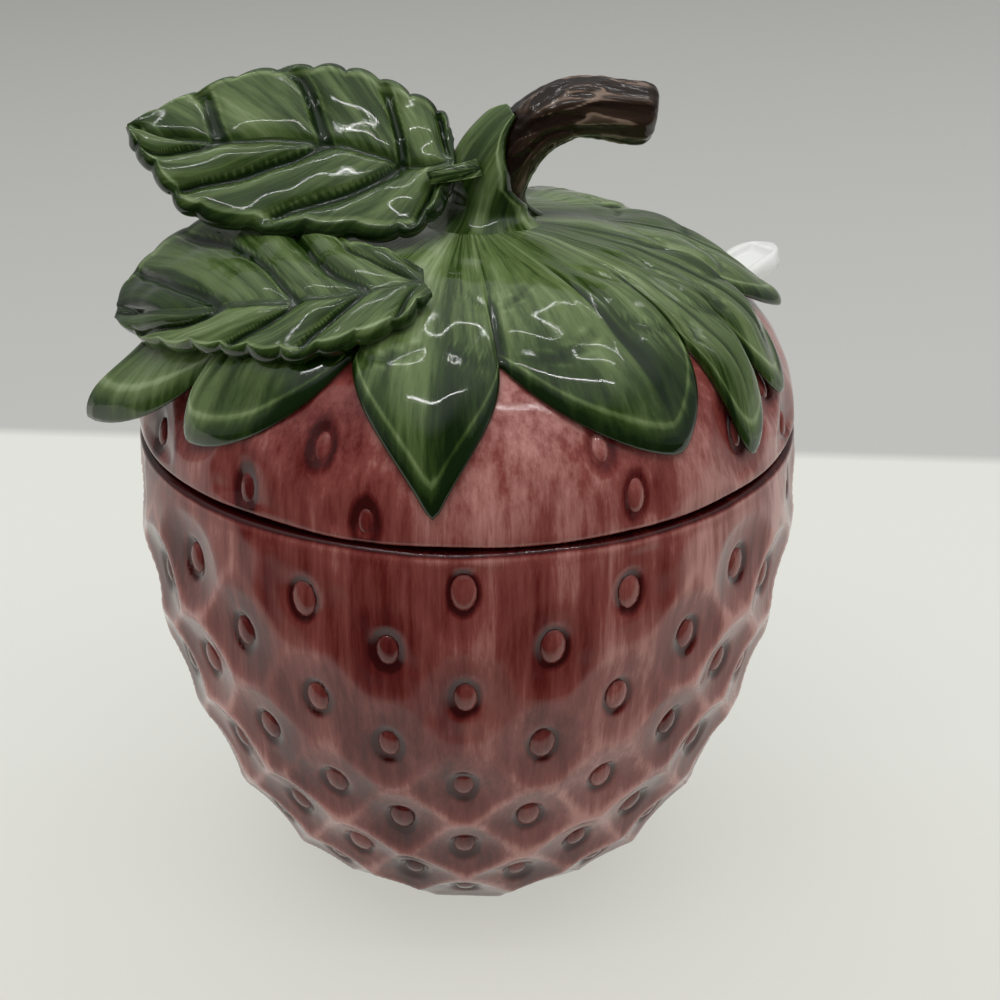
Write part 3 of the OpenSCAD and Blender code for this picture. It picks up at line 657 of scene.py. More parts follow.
def lidDome():
    e = pot["edgeRound"]
    ringR = mouthR - dome["flangeGap"]
    boreR = ringR - dome["flangeT"]
    low = seamZ - dome["flangeD"]
    a = np.radians(np.linspace(2, 88, 30))
    r, h = pot["seamR"] - pot["wall"], dome["height"] - pot["wall"]
    inner = np.stack([r * np.sin(a) ** (2 / dome["power"]), seamZ + h * np.cos(a) ** (2 / dome["power"])], -1)
    soft = dome["flangeSoft"]
    flange = np.array([[boreR, seamZ], [boreR, low + soft], [boreR + soft, low], [ringR - soft, low],
                       [ringR, low + soft], [ringR, seamZ], [pot["seamR"] - e - soft, seamZ]])
    bend = np.radians(np.linspace(-90, 0, 6))[:-1]
    start = domeAt(domeLength - e)
    edge = np.stack([start[0] - e + e * np.cos(bend), seamZ + e + e * np.sin(bend)], -1)
    outer = np.concatenate([np.arange(domeLength - e, 16, -0.75), np.linspace(15, 2, 10)])
    line = np.concatenate([inner[inner[:, 0] < boreR - 0.2], flange, edge, domeAt(outer)])
    rings = turned(line, pot["columns"])
    seamEdge(rings, 22, -1)
    piece = ringPiece("lidDome", rings, (0, 0, seamZ + h), (0, 0, topZ))
    cutter = slotCutter()
    cut = piece.modifiers.new("spoonSlot", "BOOLEAN")
    cut.object = cutter
    cut.solver = "EXACT"
    bakeModifiers(piece)
    bpy.data.objects.remove(cutter)
    # the outer skin is where the dome's own curve is met
    mesh = piece.data
    points = np.empty(len(mesh.vertices) * 3)
    mesh.vertices.foreach_get("co", points)
    points = points.reshape(-1, 3) * 1000
    radius = np.hypot(points[:, 0], points[:, 1])
    up = np.maximum(points[:, 2] - seamZ, 0)
    onSkin = (radius / pot["seamR"]) ** dome["power"] + (up / dome["height"]) ** dome["power"] > 0.985
    turn = np.degrees(np.arctan2(points[:, 1], points[:, 0]))
    slotGap = np.abs(turn - spoon["azimuth"]) * math.pi / 180 * radius - spoon["shaftW"] - spoon["notchGap"]
    fade = smooth((up - 0.8) / 2.5) * smooth((slotGap + 20 * (up > 18)) / 2)
    # painted highlight on the rounded edge by the seam, and painted shade on the flange and inside the lid
    paler = 0.12 * smooth(1 - (up - 0.8) / 2.4)
    layers = {"skin": onSkin * fade, "shade": 1 - onSkin - onSkin * paler,
              "deep": depthShare(turn, points[:, 2])}
    for key, values in layers.items():
        mesh.attributes.new(key, "FLOAT", "POINT").data.foreach_set("value", values.astype(np.float32))
    spots = [(azimuth, domeLength - above) for azimuth, above in lidSeeds["spots"]]
    growSeeds(piece, markerPiece("lidMarks", spots, domeAt, domeOut), redGlaze, lidSeeds)
    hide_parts("lid_dome")
    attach(piece, "lid")


lidDome()
print("lid made")

# the sepals' outlines, as azimuths and shares of the way down the dome's curve,
# and how far each one's tip stands off
calyx = {"thick": 1.7, "gap": 0.3, "furrow": 0.7, "rib": 0.3, "puff": 0.45, "veins": 3.4, "slope": (1.3, 1.3),
         "veinDepth": 0.15, "ribs": (0.15, 1, 0.5, 1, 1, 1, 1, 1, 1, 0.6, 0.6), "tipShade": 0.3, "root": 0.45,
         "edgeSteps": 16, "rows": 62, "underRows": 16, "lumpy": 1.1, "rounding": (1, 2, 1), "roll": 0.6,
         "notches": [(246.5, 0.6), (276, 0.6), (318, 0.6), (330.5, 0.6), (350, 0.58), (35, 0.46), (73, 0.6),
                     (112, 0.6), (150, 0.6), (192, 0.66), (216.5, 0.72)],
         "sepals": [
             ((248, 0.7), (259.5, 0.8), (265, 0.945), (269.5, 0.8), (278, 0.7), 0),
             ((281, 0.69), (296, 0.84), (306, 0.86), (313, 0.79), (318, 0.67), 0),
             ((318.3, 0.74), (318, 0.91), (323, 0.925), (330.3, 0.87), (330.5, 0.68), 0),
             ((331, 0.7), (332, 0.84), (339, 0.86), (347, 0.76), (350, 0.66), 0),
             ((354, 0.66), (358, 0.74), (4, 0.78), (10, 0.7), (22, 0.58), 2.6),
             ((42, 0.56), (48, 0.76), (58, 0.86), (68, 0.8), (73, 0.68), 0),
             ((74, 0.7), (84, 0.84), (96, 0.88), (106, 0.8), (112, 0.68), 0),
             ((113, 0.7), (122, 0.82), (134, 0.91), (143, 0.8), (150, 0.68), 1),
             ((152, 0.7), (160, 0.8), (168, 0.87), (182, 0.82), (190, 0.72), 0),
             ((195, 0.73), (197, 0.85), (197.5, 0.94), (206, 0.935), (216, 0.82), 7.8),
             ((216.8, 0.78), (215.5, 0.87), (219, 0.89), (231, 0.88), (244, 0.74), 0)]}


def overDome(azimuth, s, lift):
    return around(domeAt(s) + np.asarray(lift)[..., None] * domeOut(s), np.radians(azimuth))


def besides(spot, azimuth):
    # the same spot, with its azimuth within half a turn of another
    turn = spot[0] - azimuth
    return np.array([spot[0] - 360 * (turn > 180) + 360 * (turn < -180), spot[1]])


def sepalEdges():
    # one entry a column: azimuth, share, place across the sepal, azimuth of the root, lift
    rows = []
    steps = calyx["edgeSteps"]
    for k, sepal in enumerate(calyx["sepals"]):
        n0 = np.array(calyx["notches"][k], float)
        n1 = besides(calyx["notches"][(k + 1) % len(calyx["notches"])], n0[0])
        w = [besides(spot, n0[0]) for spot in sepal[:5]]
        for i in range(2 * steps):
            t = i / steps
            p = (bezier([n0, w[0], w[1], w[2]], t) if t < 1 else bezier([w[2], w[3], w[4], n1], t - 1))[0]
            rows.append((p[0], p[1], t - 1, mix(n0[0], n1[0], t / 2), sepal[5]))
    return np.array(rows)


veinShape = {"groove": 0.09, "swell": 0.8}


def veinField(along, across, count, slope):
    # grooves of the side veins, and the swelling between them
    phase = along * count - np.abs(across) * np.where(across < 0, *slope)
    part = phase - np.floor(phase)
    off = np.minimum(part, 1 - part)
    return hump(off, 0, veinShape["groove"]), np.sin(np.pi * part) ** veinShape["swell"]


def calyxSkin():
    edge = sepalEdges()
    aim = lambda azimuth: np.stack([np.cos(np.radians(azimuth)), np.sin(np.radians(azimuth))], -1)
    root = calyx["root"] * aim(edge[:, 3])
    tip = edge[:, 1:2] * aim(edge[:, 0])
    v, lift = edge[:, 2], edge[:, 4]
    aside = np.abs(v)
    columns = 2 * calyx["edgeSteps"]
    ribShare = np.repeat(calyx["ribs"], columns)
    # the front sepals take the painted shade at their tips
    frontShare = 0.15 + 0.85 * smooth((-np.sin(np.radians(edge[:, 0])) - 0.5) / 0.3)
    weights = np.array(calyx["rounding"]) / sum(calyx["rounding"])
    tip = sum(w * np.roll(tip, k - len(weights) // 2, axis=0) for k, w in enumerate(weights))

    def spot(t, height):
        p = 2 * t * (1 - t) * root + t * t * tip
        raised = lift * (1 - aside) ** 2 * smooth((t - 0.6) / 0.4) ** 3
        azimuth = np.degrees(np.arctan2(p[:, 1], p[:, 0]))
        return overDome(azimuth, np.linalg.norm(p, axis=1) * domeLength, height + raised)

    def skinAt(t):
        # how high the skin stands over the dome, and how dark it is, at a share of the way to the tip
        roundOff = rounded(t, 0.8, 0.2005, 0.03)
        ends = 1 - smooth((t - 0.8) / 0.12)
        middle = hump(aside, 0.075, 0.035) - hump(v, 0, 0.035)
        rib = ribShare * smooth((t - 0.3) * 4) * ends * middle
        seam = hump(aside, 1, 0.1) * smooth((t - 0.45) * 3.5)
        groove, swell = veinField(t, v, calyx["veins"], calyx["slope"])
        inside = smooth((t - 0.35) * 4) * ends * smooth((1 - aside) * 3) * smooth((aside - 0.08) * 7)
        body = calyx["thick"] * roundOff * mix(0.5, 1, smooth(t / 0.6))
        roll = calyx["roll"] * hump(t, 0.78, 0.1) * (1 - aside ** 4)
        relief = (calyx["puff"] * (swell - 0.45) * inside + calyx["rib"] * rib
                  - calyx["furrow"] * seam * roundOff - calyx["veinDepth"] * groove * inside + roll)
        # painted shade in the rib's groove, in the seams between the sepals and in the vein grooves, and
        # towards the tips of the front sepals
        dark = (np.maximum(-rib, 0) * 0.6 + seam * 0.8 + groove * inside * 0.25
                + calyx["tipShade"] * frontShare * smooth((t - 0.55) / 0.4))
        # painted highlight lines beside the seams and veins, and just inside the rim
        beside = (-0.45 * hump(seam, 0.22, 0.1) * smooth((t - 0.45) * 5)
                  - 0.3 * hump(groove, 0.3, 0.12) * inside - 0.4 * hump(t, 0.925, 0.008))
        return calyx["gap"] + np.maximum(body + relief * roundOff, 0.3), dark + beside

    stops = [np.linspace(0.05, 0.9, calyx["rows"] - 14, endpoint=False), np.linspace(0.9, 0.998, 14)]
    stops = np.concatenate(stops)
    lows = np.linspace(0.05, 0.998, calyx["underRows"])
    top, shade = [], []
    for t in stops:
        h, dark = skinAt(t)
        base = spot(t, h)
        uneven = lumps(base, 13.0, 2) + 0.2 * lumps(base, 5.0, 3)
        top.append(spot(t, h + calyx["lumpy"] * uneven * (1 - smooth((t - 0.9) / 0.09))))
        # painted shade where the rim turns under
        shade.append(dark + 0.35 * smooth((t - 0.93) / 0.05))
    under = [spot(t, np.full(len(v), calyx["gap"])) for t in lows]
    rings = np.array(under + top[::-1])
    # painted shade on the underside
    hollow = np.array([np.full(len(v), 0.6) for t in lows] + shade[::-1])
    strokeSeed = 0.5 * np.repeat(np.arange(len(calyx["sepals"])), columns)
    flow = np.array([np.stack([np.full(len(v), t * 0.06), v * 0.014, strokeSeed], -1)
                     for t in list(lows) + list(stops[::-1])])
    z = topZ + calyx["gap"]
    piece = ringPiece("calyxSkin", rings, (0, 0, z), (0, 0, z + 0.5 * calyx["thick"]),
                      {"hollow": hollow, "flow": flow})
    piece.data.materials.append(greenGlaze)
    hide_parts("calyx")
    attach(piece, "lid")


calyxSkin()
print("calyx made")

# the two large leaves and the small one by the stem: their lines are in millimetres from the dome's top,
# and the lower leaf's in azimuths, shares of the way down the dome's curve, and lifts
leafSeat = calyx["gap"] * 2 + calyx["thick"] + 1.1
upperLeaf = {
    "node": "upper_leaf", "rows": 150, "cols": 61, "teeth": 11, "toothD": 1.0, "thick": 2.2, "crown": 0.5,
    "puff": 1.3, "veins": 4.35, "slope": (1.15, 0.6), "veinDepth": 0.8, "ribDepth": 0.7, "lumpy": 0.5,
    "stray": 0.45, "flowSeed": 0.0,
    "mid": [(-1.8, -3.4, 10.8), (-6, -3, 9.2), (-12, -2.6, 10.3), (-18.9, -2, 12.2), (-27.8, -2, 12.9),
            (-38, -2, 12.8), (-46.5, -1.5, 13.4), (-50.2, -0.9, 14.9)],
    "lower": [(-1.7, -6.2, 9.6), (-4.3, -10.3, 5.2), (-9.5, -13.9, 2.6), (-19, -14.2, 2.6), (-29, -12.8, 2.8),
              (-40, -10.3, 4.4), (-44.4, -8.5, 8.4), (-48.2, -5, 12.4), (-50.5, -1.2, 14.7)],
    "upper": [(-2, 0.3, 13.2), (-3.6, 4, 16.2), (-10.1, 6, 19.8), (-17.7, 7.5, 22.2), (-25.3, 8, 22.3),
              (-34.3, 7, 21.2), (-43, 4, 18.2), (-50.6, -0.6, 15.4)]}
lowerLeaf = {
    "node": "lower_leaf", "rows": 150, "cols": 61, "teeth": 11, "toothD": 1.0, "thick": 2.2, "crown": 0.5,
    "puff": 0.9, "veins": 4.35, "slope": (0.8, 1.2), "veinDepth": 0.6, "ribDepth": 0.6, "lumpy": 0.45,
    "stray": 0.5, "flowSeed": 0.7,
    "mid": [(258, 0.42, 0), (247, 0.47, 0.3), (236, 0.54, 0.9), (224, 0.6, 1.6), (210, 0.68, 2.5),
            (191, 0.765, 4)],
    "upper": [(256, 0.37, 0), (240, 0.33, 0), (222, 0.33, 0.2), (205, 0.36, 1), (191, 0.42, 2.5),
              (181, 0.51, 4.6), (180.5, 0.62, 5.1), (183.5, 0.71, 4.8), (189.5, 0.765, 4.3)],
    "lower": [(261, 0.45, 0), (256, 0.54, 0), (246, 0.62, 0.2), (236, 0.672, 0.5), (226, 0.69, 0.8),
              (217, 0.715, 1.2), (206, 0.755, 2.2), (192, 0.778, 3.8)]}
bract = {
    "node": "bract", "rows": 30, "cols": 21, "teeth": 0, "toothD": 0.0, "thick": 1.32, "crown": 0.3,
    "puff": 0.0, "veins": 1.0, "slope": (1.0, 1.0), "veinDepth": 0.0, "ribDepth": 0.0, "lumpy": 0.1,
    "stray": 0.0, "flowSeed": 1.4,
    "mid": [(2.1, -6.1, 10.6), (-1.5, -7.6, 10.3), (-5.6, -8.3, 9.8)],
    "upper": [(1.4, -5.6, 11.9), (-1.8, -7.1, 11.4), (-5.9, -8, 10.5)],
    "lower": [(2.4, -6.3, 9.5), (-1.4, -7.8, 9.2), (-5.5, -8.3, 8.9)]}
# how the brush strokes' own coordinates run over a leaf
leafStrokes = {"across": 0.0005, "along": 0.05, "slant": 0.012, "lift": 0.02}


def onDome(points):
    return np.array([overDome(a, f * domeLength, lift + leafSeat) for a, f, lift in points])


def onCrown(points):
    return np.array([(x, y, z + topZ) for x, y, z in points])


def leafPiece(name, leaf, place):
    mid, left, right = place(leaf["mid"]), place(leaf["lower"]), place(leaf["upper"])
    s = np.linspace(0, 1, leaf["rows"])[:, None]
    even = np.linspace(-1, 1, leaf["cols"])[None, :]
    q = 0.35 * np.sin(even * np.pi / 2) + 0.65 * even
    aside = np.abs(q)

    def base(s, q):
        s, q = np.broadcast_arrays(s, q)
        edge = np.where(q[..., None] < 0, through(left, s), through(right, s))
        return mix(through(mid, s), edge, np.abs(q)[..., None])

    acrossWay = base(s, np.minimum(q + 0.08, 1)) - base(s, np.maximum(q - 0.08, -1))
    alongWay = base(np.minimum(s + 0.015, 1), q) - base(np.maximum(s - 0.015, 0), q)
    normal = unit(np.cross(acrossWay, alongWay))
    leftWay, rightWay = [unit(through(line, s) - through(mid, s)) for line in (left, right)]
    sides = np.where(q[..., None] < 0, leftWay, rightWay)
    # teeth round the rim
    grow = smooth(np.minimum(s * 12, (1 - s) * 14))
    wave = np.abs(np.sin(np.pi * (leaf["teeth"] * (s ** 0.95)))) ** 0.6 - 0.55 if leaf["teeth"] else 0 * s
    body = base(s, q) + (leaf["toothD"] * wave * grow * smooth((aside - 0.62) / 0.38))[..., None] * sides
    # veins, the swellings between them, and a raised rim
    uneven = lumps(base(s, q) * np.array([1, 0.6, 0.6]), 11.0, 6 + leaf["flowSeed"])
    astray = leaf["stray"] / leaf["veins"] * uneven
    groove, swell = veinField(s + astray * aside, q, leaf["veins"], leaf["slope"])
    field = smooth(np.minimum(s * 8, (1 - s) * 10)) * (1 - smooth((aside - 0.8) / 0.2))
    rib = hump(q, 0, 0.045)
    half = 0.5 * leaf["thick"] * rounded(aside, 0.93, 0.072, 0.06) * mix(0.45, 1, smooth(8 * s))
    crown = leaf["crown"] * (1 - q * q) * np.sin(np.pi * s)
    rough = leaf["lumpy"] * lumps(body, 4.5, 4 + leaf["flowSeed"]) * field
    rim = 0.22 * hump(aside, 0.9, 0.04) * grow
    relief = (leaf["puff"] * (swell - 0.35) * (1 - hump(q, 0, 0.12)) - leaf["veinDepth"] * groove
              - leaf["ribDepth"] * rib) * field + rough + rim
    top = body + normal * (half + crown + relief)[..., None]
    under = body + normal * (-half + crown + 0.55 * np.minimum(relief, half * 0.8))[..., None]
    # painted shade, with pooled glaze, in the vein grooves, along the midrib and at the rim's edge, and
    # painted light on the swellings
    dark = (0.3 + np.clip(groove * 0.45 * field + rib * 0.4, 0, 1) + 0.3 * smooth((aside - 0.94) / 0.06)
            - 0.18 * swell * field)
    # painted highlight lines along the crests beside the veins and along the rim
    paintedGleam = (hump(groove, 0.3, 0.13) + hump(rib, 0.3, 0.15)) * field
    dark = dark - 0.4 * paintedGleam - 0.5 * hump(aside, 0.87, 0.022) * grow
    # brush strokes run out from the midrib along the side veins
    span = np.linalg.norm(through(right, s) - through(left, s), axis=-1)
    flow = np.stack([aside * span * leafStrokes["across"] + s * leafStrokes["lift"],
                     s * leafStrokes["along"] - aside * leafStrokes["slant"] + np.sign(q) * 0.1,
                     leaf["flowSeed"] + 0 * s * q], -1)
    piece = sheetPiece(name, top, under, {"hollow": dark, "flow": flow})
    piece.data.materials.append(greenGlaze)
    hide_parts(leaf["node"])
    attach(piece, "lid")


leafPiece("upperLeaf", upperLeaf, onCrown)
leafPiece("lowerLeaf", lowerLeaf, onDome)
leafPiece("bractLeaf", bract, onCrown)
print("leaves made")

stem = {"radius": 4.7, "rise": 16.7, "reach": 24.5, "root": 3.5, "rows": 220, "sides": 128, "bark": 0.45,
        "endRound": 2.3, "swell": 0.25,
        "line": [(0, 0), (0.035, 0.27), (0.12, 0.56), (0.25, 0.81), (0.43, 0.97), (0.66, 1), (1, 0.93)]}
# the sheath's two edges, as shares of its length and degrees round the stem
sheath = {"tip": 0.5, "thick": 1.5, "gap": 0.2, "flare": 3.4, "drop": 0.7, "rows": 70, "cols": 60,
          "ridge": 0.35, "spine": 1.5,
          "near": [(0, 170), (0.3, 152), (0.44, 112), (0.57, 99), (0.7, 76), (0.85, 58), (1, 44)],
          "far": [(0, -170), (0.3, -152), (0.5, -95), (0.75, -25), (1, 14)]}
stemBase = topZ + calyx["gap"] + 0.6 * calyx["thick"] + 0.1
stemLine = np.array([(x * stem["reach"] + stem["root"], 0, z * stem["rise"] + stemBase)
                     for x, z in stem["line"]])


def besideStem(s, r, a):
    s, r, a = np.broadcast_arrays(np.asarray(s, float), r, np.radians(a))
    lean = unit(through(stemLine, s + 0.01) - through(stemLine, np.maximum(s - 0.01, 0)))
    h = unit(mix(np.array([0, 0, 1.0]), lean, smooth(s / 0.14)[..., None]))
    out = np.stack([-h[..., 2], 0 * s, h[..., 0]], -1)
    front = np.array([0, -1.0, 0])
    return through(stemLine, s) + r[..., None] * (np.cos(a)[..., None] * out + np.sin(a)[..., None] * front)


def stemHandle():
    length = runAlong(through(stemLine, np.linspace(0, 1, 60)))[-1]
    end = stem["endRound"] / length
    roundEnd = end * np.sin(np.radians(np.linspace(8, 88, 10)))
    s = np.concatenate([np.linspace(0, 1 - end, stem["rows"]), 1 - end + roundEnd])[:, None]
    inset = stem["endRound"] * (1 - np.sqrt(1 - np.clip((s - 1 + end) / end, 0, 1) ** 2))
    a = np.linspace(0, 360, stem["sides"], endpoint=False)[None, :]
    plain = besideStem(s, stem["radius"] + 0 * a, a)
    ridges = 0.5 * np.cos(np.radians(7 * a + 260 * s)) + 0.5 * np.cos(np.radians(4 * a - 400 * s))
    # bark whose grain is drawn out along the stem
    grain = lumps(besideStem(0.35 * s, stem["radius"] + 0 * a, a), 1.6, 8)
    lump = grain * 0.8 * (0.5 + smooth((s - 0.4) * 4)) + lumps(plain, 1.1, 9) * 0.3
    relief = stem["bark"] * (0.25 * ridges + 0.9 * lump - 0.55)
    rings = besideStem(s, stem["radius"] + stem["swell"] * smooth((s - 0.86) / 0.1) + relief - inset, a)
    flow = np.stack([s * length * 0.001 + 0 * a, np.radians(a) * 0.001 * stem["radius"] + 0 * s,
                     0 * a * s + 2.0], -1)
    # pale lines run round the bark's crests, and the bark is paler on its crests
    level = grain / np.std(grain)
    lineShare = smooth((s - 0.2) * 3) * (0.6 + 0.4 * lumps(plain, 3.0, 10) / 0.5)
    lines = hump(level, 0.7, 0.22) * lineShare
    hollow = 0.3 - 0.35 * smooth(level) - 1.1 * np.clip(lines, 0, 1)
    piece = ringPiece("stemHandle", rings, besideStem(0, 0, 0), besideStem(1, 0, 0),
                      {"hollow": hollow, "flow": flow})
    piece.data.materials.append(brownGlaze)
    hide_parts("stem")
    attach(piece, "lid")


def stemSheath():
    u = np.linspace(0, 1, sheath["rows"])[:, None]
    w = np.linspace(0, 1, sheath["cols"])[None, :]
    near = np.interp(u, *zip(*sheath["near"]))
    far = np.interp(u, *zip(*sheath["far"]))
    a = mix(far, near, w)
    aside = np.abs(2 * w - 1)
    lip = rounded(aside, 0.86, 0.14, 0.08)
    spine = sheath["spine"] * np.maximum(np.cos(np.radians(a)), 0) ** 1.5 * np.sin(np.pi * u ** 0.8)
    flare = sheath["flare"] * np.clip(1 - 4.4 * u, 0, 1) ** 2.2
    thick = lip * (sheath["thick"] * (1 - 0.4 * u) + spine) + flare
    ridge = sheath["ridge"] * np.cos(np.radians(a * 5)) * smooth(u * 6) * lip
    inner = stem["radius"] + sheath["gap"]
    drop = sheath["drop"] * np.clip(1 - 6 * u, 0, 1)[..., None] ** 2 * np.array([0, 0, 1])
    top = besideStem(u * sheath["tip"], inner + thick + ridge, a) - drop
    under = besideStem(u * sheath["tip"], inner + 0 * a, a) - drop
    flow = np.stack([u * 0.02 + 0 * a, np.radians(a) * 0.012 + 0 * u, 0 * a * u + 3.0], -1)
    # painted highlight lines just inside the sheath's edges, painted light on its ridges, and painted shade
    # in the troughs and at the rounded lip
    paintedGleam = 0.6 * hump(aside, 0.82, 0.035)
    hollow = 0.1 - ridge / sheath["ridge"] * 0.3 + 0.4 * (1 - lip) - paintedGleam
    piece = sheetPiece("stemSheath", top, under, {"hollow": hollow, "flow": flow})
    piece.data.materials.append(greenGlaze)
    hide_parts("stem_sheath")
    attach(piece, "lid")


stemHandle()
stemSheath()
print("stem made")


def spoonPiece():
    shaftEnd = spoon["inside"] + pot["lipW"] / math.cos(spoonTilt) + 1.5
    total = shaftEnd + spoon["thumbL"]
    c = 0.5 * spoon["bowlL"]
    bowlRows = spoon["bowlL"] * (0.5 - 0.5 * np.cos(np.linspace(0, np.pi, 60)))
    shaftRows = np.linspace(spoon["bowlL"], shaftEnd, 40)[1:]
    thumbRows = np.linspace(shaftEnd, total - 4, 24)[1:]
    endRows = total - 4 + 4 * np.sin(np.radians(np.linspace(0, 90, 14)))[1:]
    x = np.concatenate([bowlRows, shaftRows, thumbRows, endRows])[:, None]
    q = np.linspace(1, -1, 33)[None, :]
    aside = np.abs(q)
    # half the width: bowl, shaft, then the thumb end with its round tip
    inBowl = np.clip(1 - ((x - c) / c) ** 2, 0, None)
    bowl = np.where(x < 2 * c, spoon["bowlW"] * np.sqrt(inBowl), 0)
    end = np.clip(total - x, 0, 5)
    tip = rounded(1 - end / 5, 0, 1, 0.02)
    shaft = np.where(x > c, spoon["shaftW"], 0.15 * spoon["bowlW"])
    thumb = smooth((x - shaftEnd) / 6) * 2
    halfWidth = np.maximum(np.maximum(bowl, shaft), 0.8) * tip + thumb * tip
    # the bowl's hollow, and the thumb end's bend and raised rim
    hollow = np.where(x < 2 * c, spoon["bowlDepth"] * inBowl ** 0.7, 0)
    thumbBend = math.radians(spoon["thumbBend"])
    bend = np.where(x < shaftEnd, 0, thumbBend * (x - shaftEnd) / spoon["thumbL"])
    arm = spoon["thumbL"] / thumbBend
    px = np.where(x < shaftEnd, x, shaftEnd + arm * np.sin(bend))
    pz = np.where(x < shaftEnd, 0, -arm * (1 - np.cos(bend)))
    thick = 0.5 * mix(spoon["bowlT"], spoon["shaftT"], smooth((x - c) / 12))
    roundSide = rounded(aside, 0.8, 0.2, 0.05)
    rim = mix(-0.6, 0.5, smooth((np.maximum(aside, 1 - end / 5) - 0.45) / 0.2))
    rim = smooth((x - shaftEnd - 2) / 3) * rim
    grids = []
    for side in (1, -1):
        lift = -hollow * (1 - q * q) + side * thick * roundSide + (rim * roundSide if side > 0 else 0)
        ahead = px + lift * np.sin(bend) - spoon["inside"]
        above = pz + lift * np.cos(bend)
        outward = ahead * math.cos(spoonTilt) - above * math.sin(spoonTilt) + mouthR
        height = ahead * math.sin(spoonTilt) + above * math.cos(spoonTilt) + shaftZ(mouthR)
        grids.append(np.stack([*spun(outward, q * halfWidth, spoon["azimuth"]), height], -1))
    piece = sheetPiece("jamSpoon", grids[0], grids[1])
    piece.data.materials.append(spoonPlastic)
    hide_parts("spoon")
    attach(piece, "spoon")


spoonPiece()
print("spoon made")

# places in metres from the pot's middle: the wall's foot at the left and the right, where the mirrored table
# goes dim, and where the table grows darker towards the camera
floor = {"size": 4.0, "near": tone(222, 223, 216), "low": tone(217, 216, 208),
         "wallFoot": tone(188, 188, 184), "wallTop": tone(155, 155, 151), "mirrored": tone(52, 44, 42),
         "edgeLeft": 0.172, "edgeRight": 0.15, "edgeAt": 0.15, "edgeSoft": 0.003, "wallFade": 0.9,
         "wallSlant": 0.55, "glow": 0.7, "dimFrom": -0.088, "dimTo": -0.125, "lowFrom": 0.02, "lowTo": -0.07,
         "rough": 0.5, "sheen": 0.25}


def addFloor():
    # one sheet: the table, then the foot of the wall; it glows a little, as a lit table does
    half = floor["size"] / 2
    corners = [(-half, -half, 0), (half, -half, 0), (half, half, 0), (-half, half, 0)]
    mesh = bpy.data.meshes.new("paleFloor")
    mesh.from_pydata(corners, [], [(0, 1, 2, 3)])
    plane = bpy.data.objects.new("paleFloor", mesh)
    scene.collection.objects.link(plane)
    material, tree, shader = newMaterial("paleFloor")
    place = tree.nodes.new("ShaderNodeTexCoord").outputs["Object"]
    axes = addNode(tree, "ShaderNodeSeparateXYZ", {0: place}).outputs
    slope = (floor["edgeRight"] - floor["edgeLeft"]) / (2 * floor["edgeAt"])
    middle = (floor["edgeRight"] + floor["edgeLeft"]) / 2
    edge = addMath(tree, "ADD", addMath(tree, "MULTIPLY", axes["X"], slope), middle)
    past = addMath(tree, "SUBTRACT", axes["Y"], edge)
    step = addRange(tree, past, -floor["edgeSoft"], floor["edgeSoft"])
    # painted shade: the wall grows darker higher up and towards the left
    far = addRange(tree, past, 0.0, floor["wallFade"])
    slant = addMath(tree, "MULTIPLY", axes["X"], floor["wallSlant"])
    turn = addMath(tree, "SUBTRACT", far, slant, clamp=True)
    wall = addTint(tree, turn, floor["wallFoot"], floor["wallTop"])
    # the table grows darker towards the camera
    nearer = addRange(tree, axes["Y"], floor["lowFrom"], floor["lowTo"])
    table = addTint(tree, nearer, floor["near"], floor["low"])
    colour = addTint(tree, step, table, wall)
    # the glaze mirrors a dim room where the table ends on the camera's side
    rays = tree.nodes.new("ShaderNodeLightPath").outputs
    ends = addRange(tree, axes["Y"], floor["dimFrom"], floor["dimTo"])
    tint = addTint(tree, addMath(tree, "MULTIPLY", ends, rays["Is Glossy Ray"]), colour, floor["mirrored"])
    # what the glow gives to the eye is taken from what the table reflects
    seen = addMath(tree, "MAXIMUM", rays["Is Camera Ray"], rays["Is Glossy Ray"])
    base = addTint(tree, seen, (1, 1, 1, 1), (1 - floor["glow"],) * 3 + (1,))
    reflected = addTint(tree, 1.0, tint, base, "MULTIPLY")
    glow = addMath(tree, "MULTIPLY", seen, floor["glow"])
    setInputs(tree, shader, {"Emission Color": tint, "Base Color": reflected, "Emission Strength": glow,
                             "Roughness": floor["rough"], "Specular IOR Level": floor["sheen"]})
    mesh.materials.append(material)


addFloor()

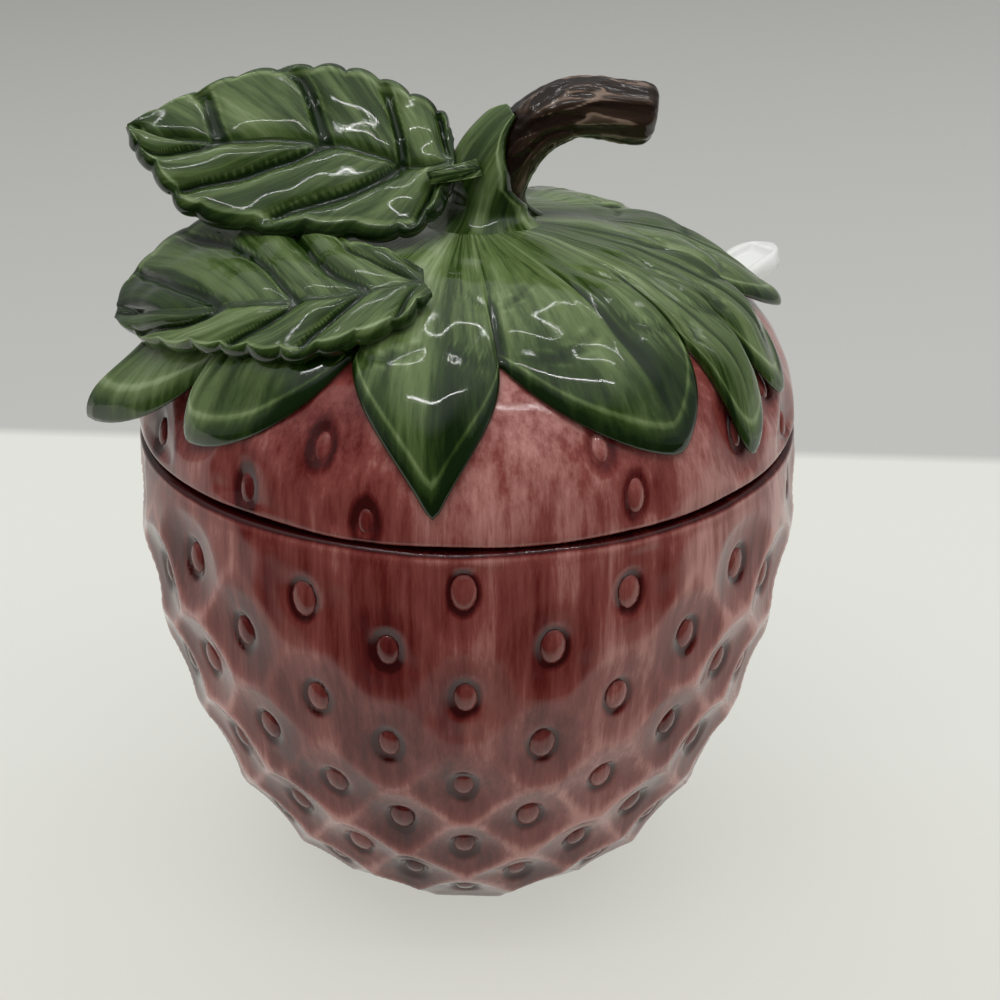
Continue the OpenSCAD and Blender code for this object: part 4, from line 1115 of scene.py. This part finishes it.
# two soft lamps that only light, and two thin strips that the glaze mirrors as fine lines
lamps = [
    {"name": "keyLamp", "place": (-0.3, -0.2, 1.0), "size": (0.7, 0.7), "power": 3.4, "mirrored": False},
    {"name": "fillLamp", "place": (0.4, -0.15, 0.95), "size": (0.7, 0.7), "power": 2.2, "mirrored": False},
    {"name": "frontStrip", "place": (0, -0.2, 0.62), "size": (0.6, 0.003), "power": 0.55, "mirrored": True},
    {"name": "backStrip", "place": (0, 0.24, 0.62), "size": (0.6, 0.003), "power": 0.3, "mirrored": True}]
lampAim = (0, 0, 0.07)


def addLamps():
    for lamp in lamps:
        data = bpy.data.lights.new(lamp["name"], "AREA")
        data.shape = "RECTANGLE"
        data.size, data.size_y = lamp["size"]
        data.energy = lamp["power"]
        light = bpy.data.objects.new(lamp["name"], data)
        light.location = lamp["place"]
        if not lamp["mirrored"]:
            aim = Vector(lampAim) - Vector(lamp["place"])
            light.rotation_euler = aim.to_track_quat("-Z", "Y").to_euler()
        light.visible_glossy = lamp["mirrored"]
        scene.collection.objects.link(light)


room = {"above": 0.62, "aside": 0.26, "before": 0.06, "lighting": 0.5, "lightBefore": 0.22,
        "lightAbove": 0.7, "seen": 0.72, "colour": tone(246, 247, 246), "beforeSpan": (-0.15, -0.75),
        "aboveSpan": (0.5, 0.85), "lightSpan": (0.2, -0.7), "liftSpan": (0.0, 0.8)}


def addWorld():
    # a pale room that is dim low down on the camera's side, as the glaze shows it
    world = bpy.data.worlds.new("softRoom")
    world.use_nodes = True
    tree = world.node_tree
    back = tree.nodes["Background"]
    place = tree.nodes.new("ShaderNodeTexCoord").outputs["Generated"]
    ways = addNode(tree, "ShaderNodeSeparateXYZ", {0: place}).outputs
    before = addRange(tree, ways["Y"], *room["beforeSpan"], room["aside"], room["before"])
    mirrored = addBlend(tree, addRange(tree, ways["Z"], *room["aboveSpan"]), before, room["above"])
    rays = tree.nodes.new("ShaderNodeLightPath").outputs
    low = addRange(tree, ways["Y"], *room["lightSpan"], room["lighting"], room["lightBefore"])
    lighting = addBlend(tree, addRange(tree, ways["Z"], *room["liftSpan"]), low, room["lightAbove"])
    plain = addBlend(tree, rays["Is Glossy Ray"], lighting, mirrored)
    seen = addMath(tree, "MAXIMUM", rays["Is Camera Ray"], rays["Is Transmission Ray"])
    strength = addBlend(tree, seen, plain, room["seen"])
    setInputs(tree, back, {"Strength": strength, "Color": room["colour"]})
    scene.world = world


addLamps()
addWorld()
print("floor and lamps set")
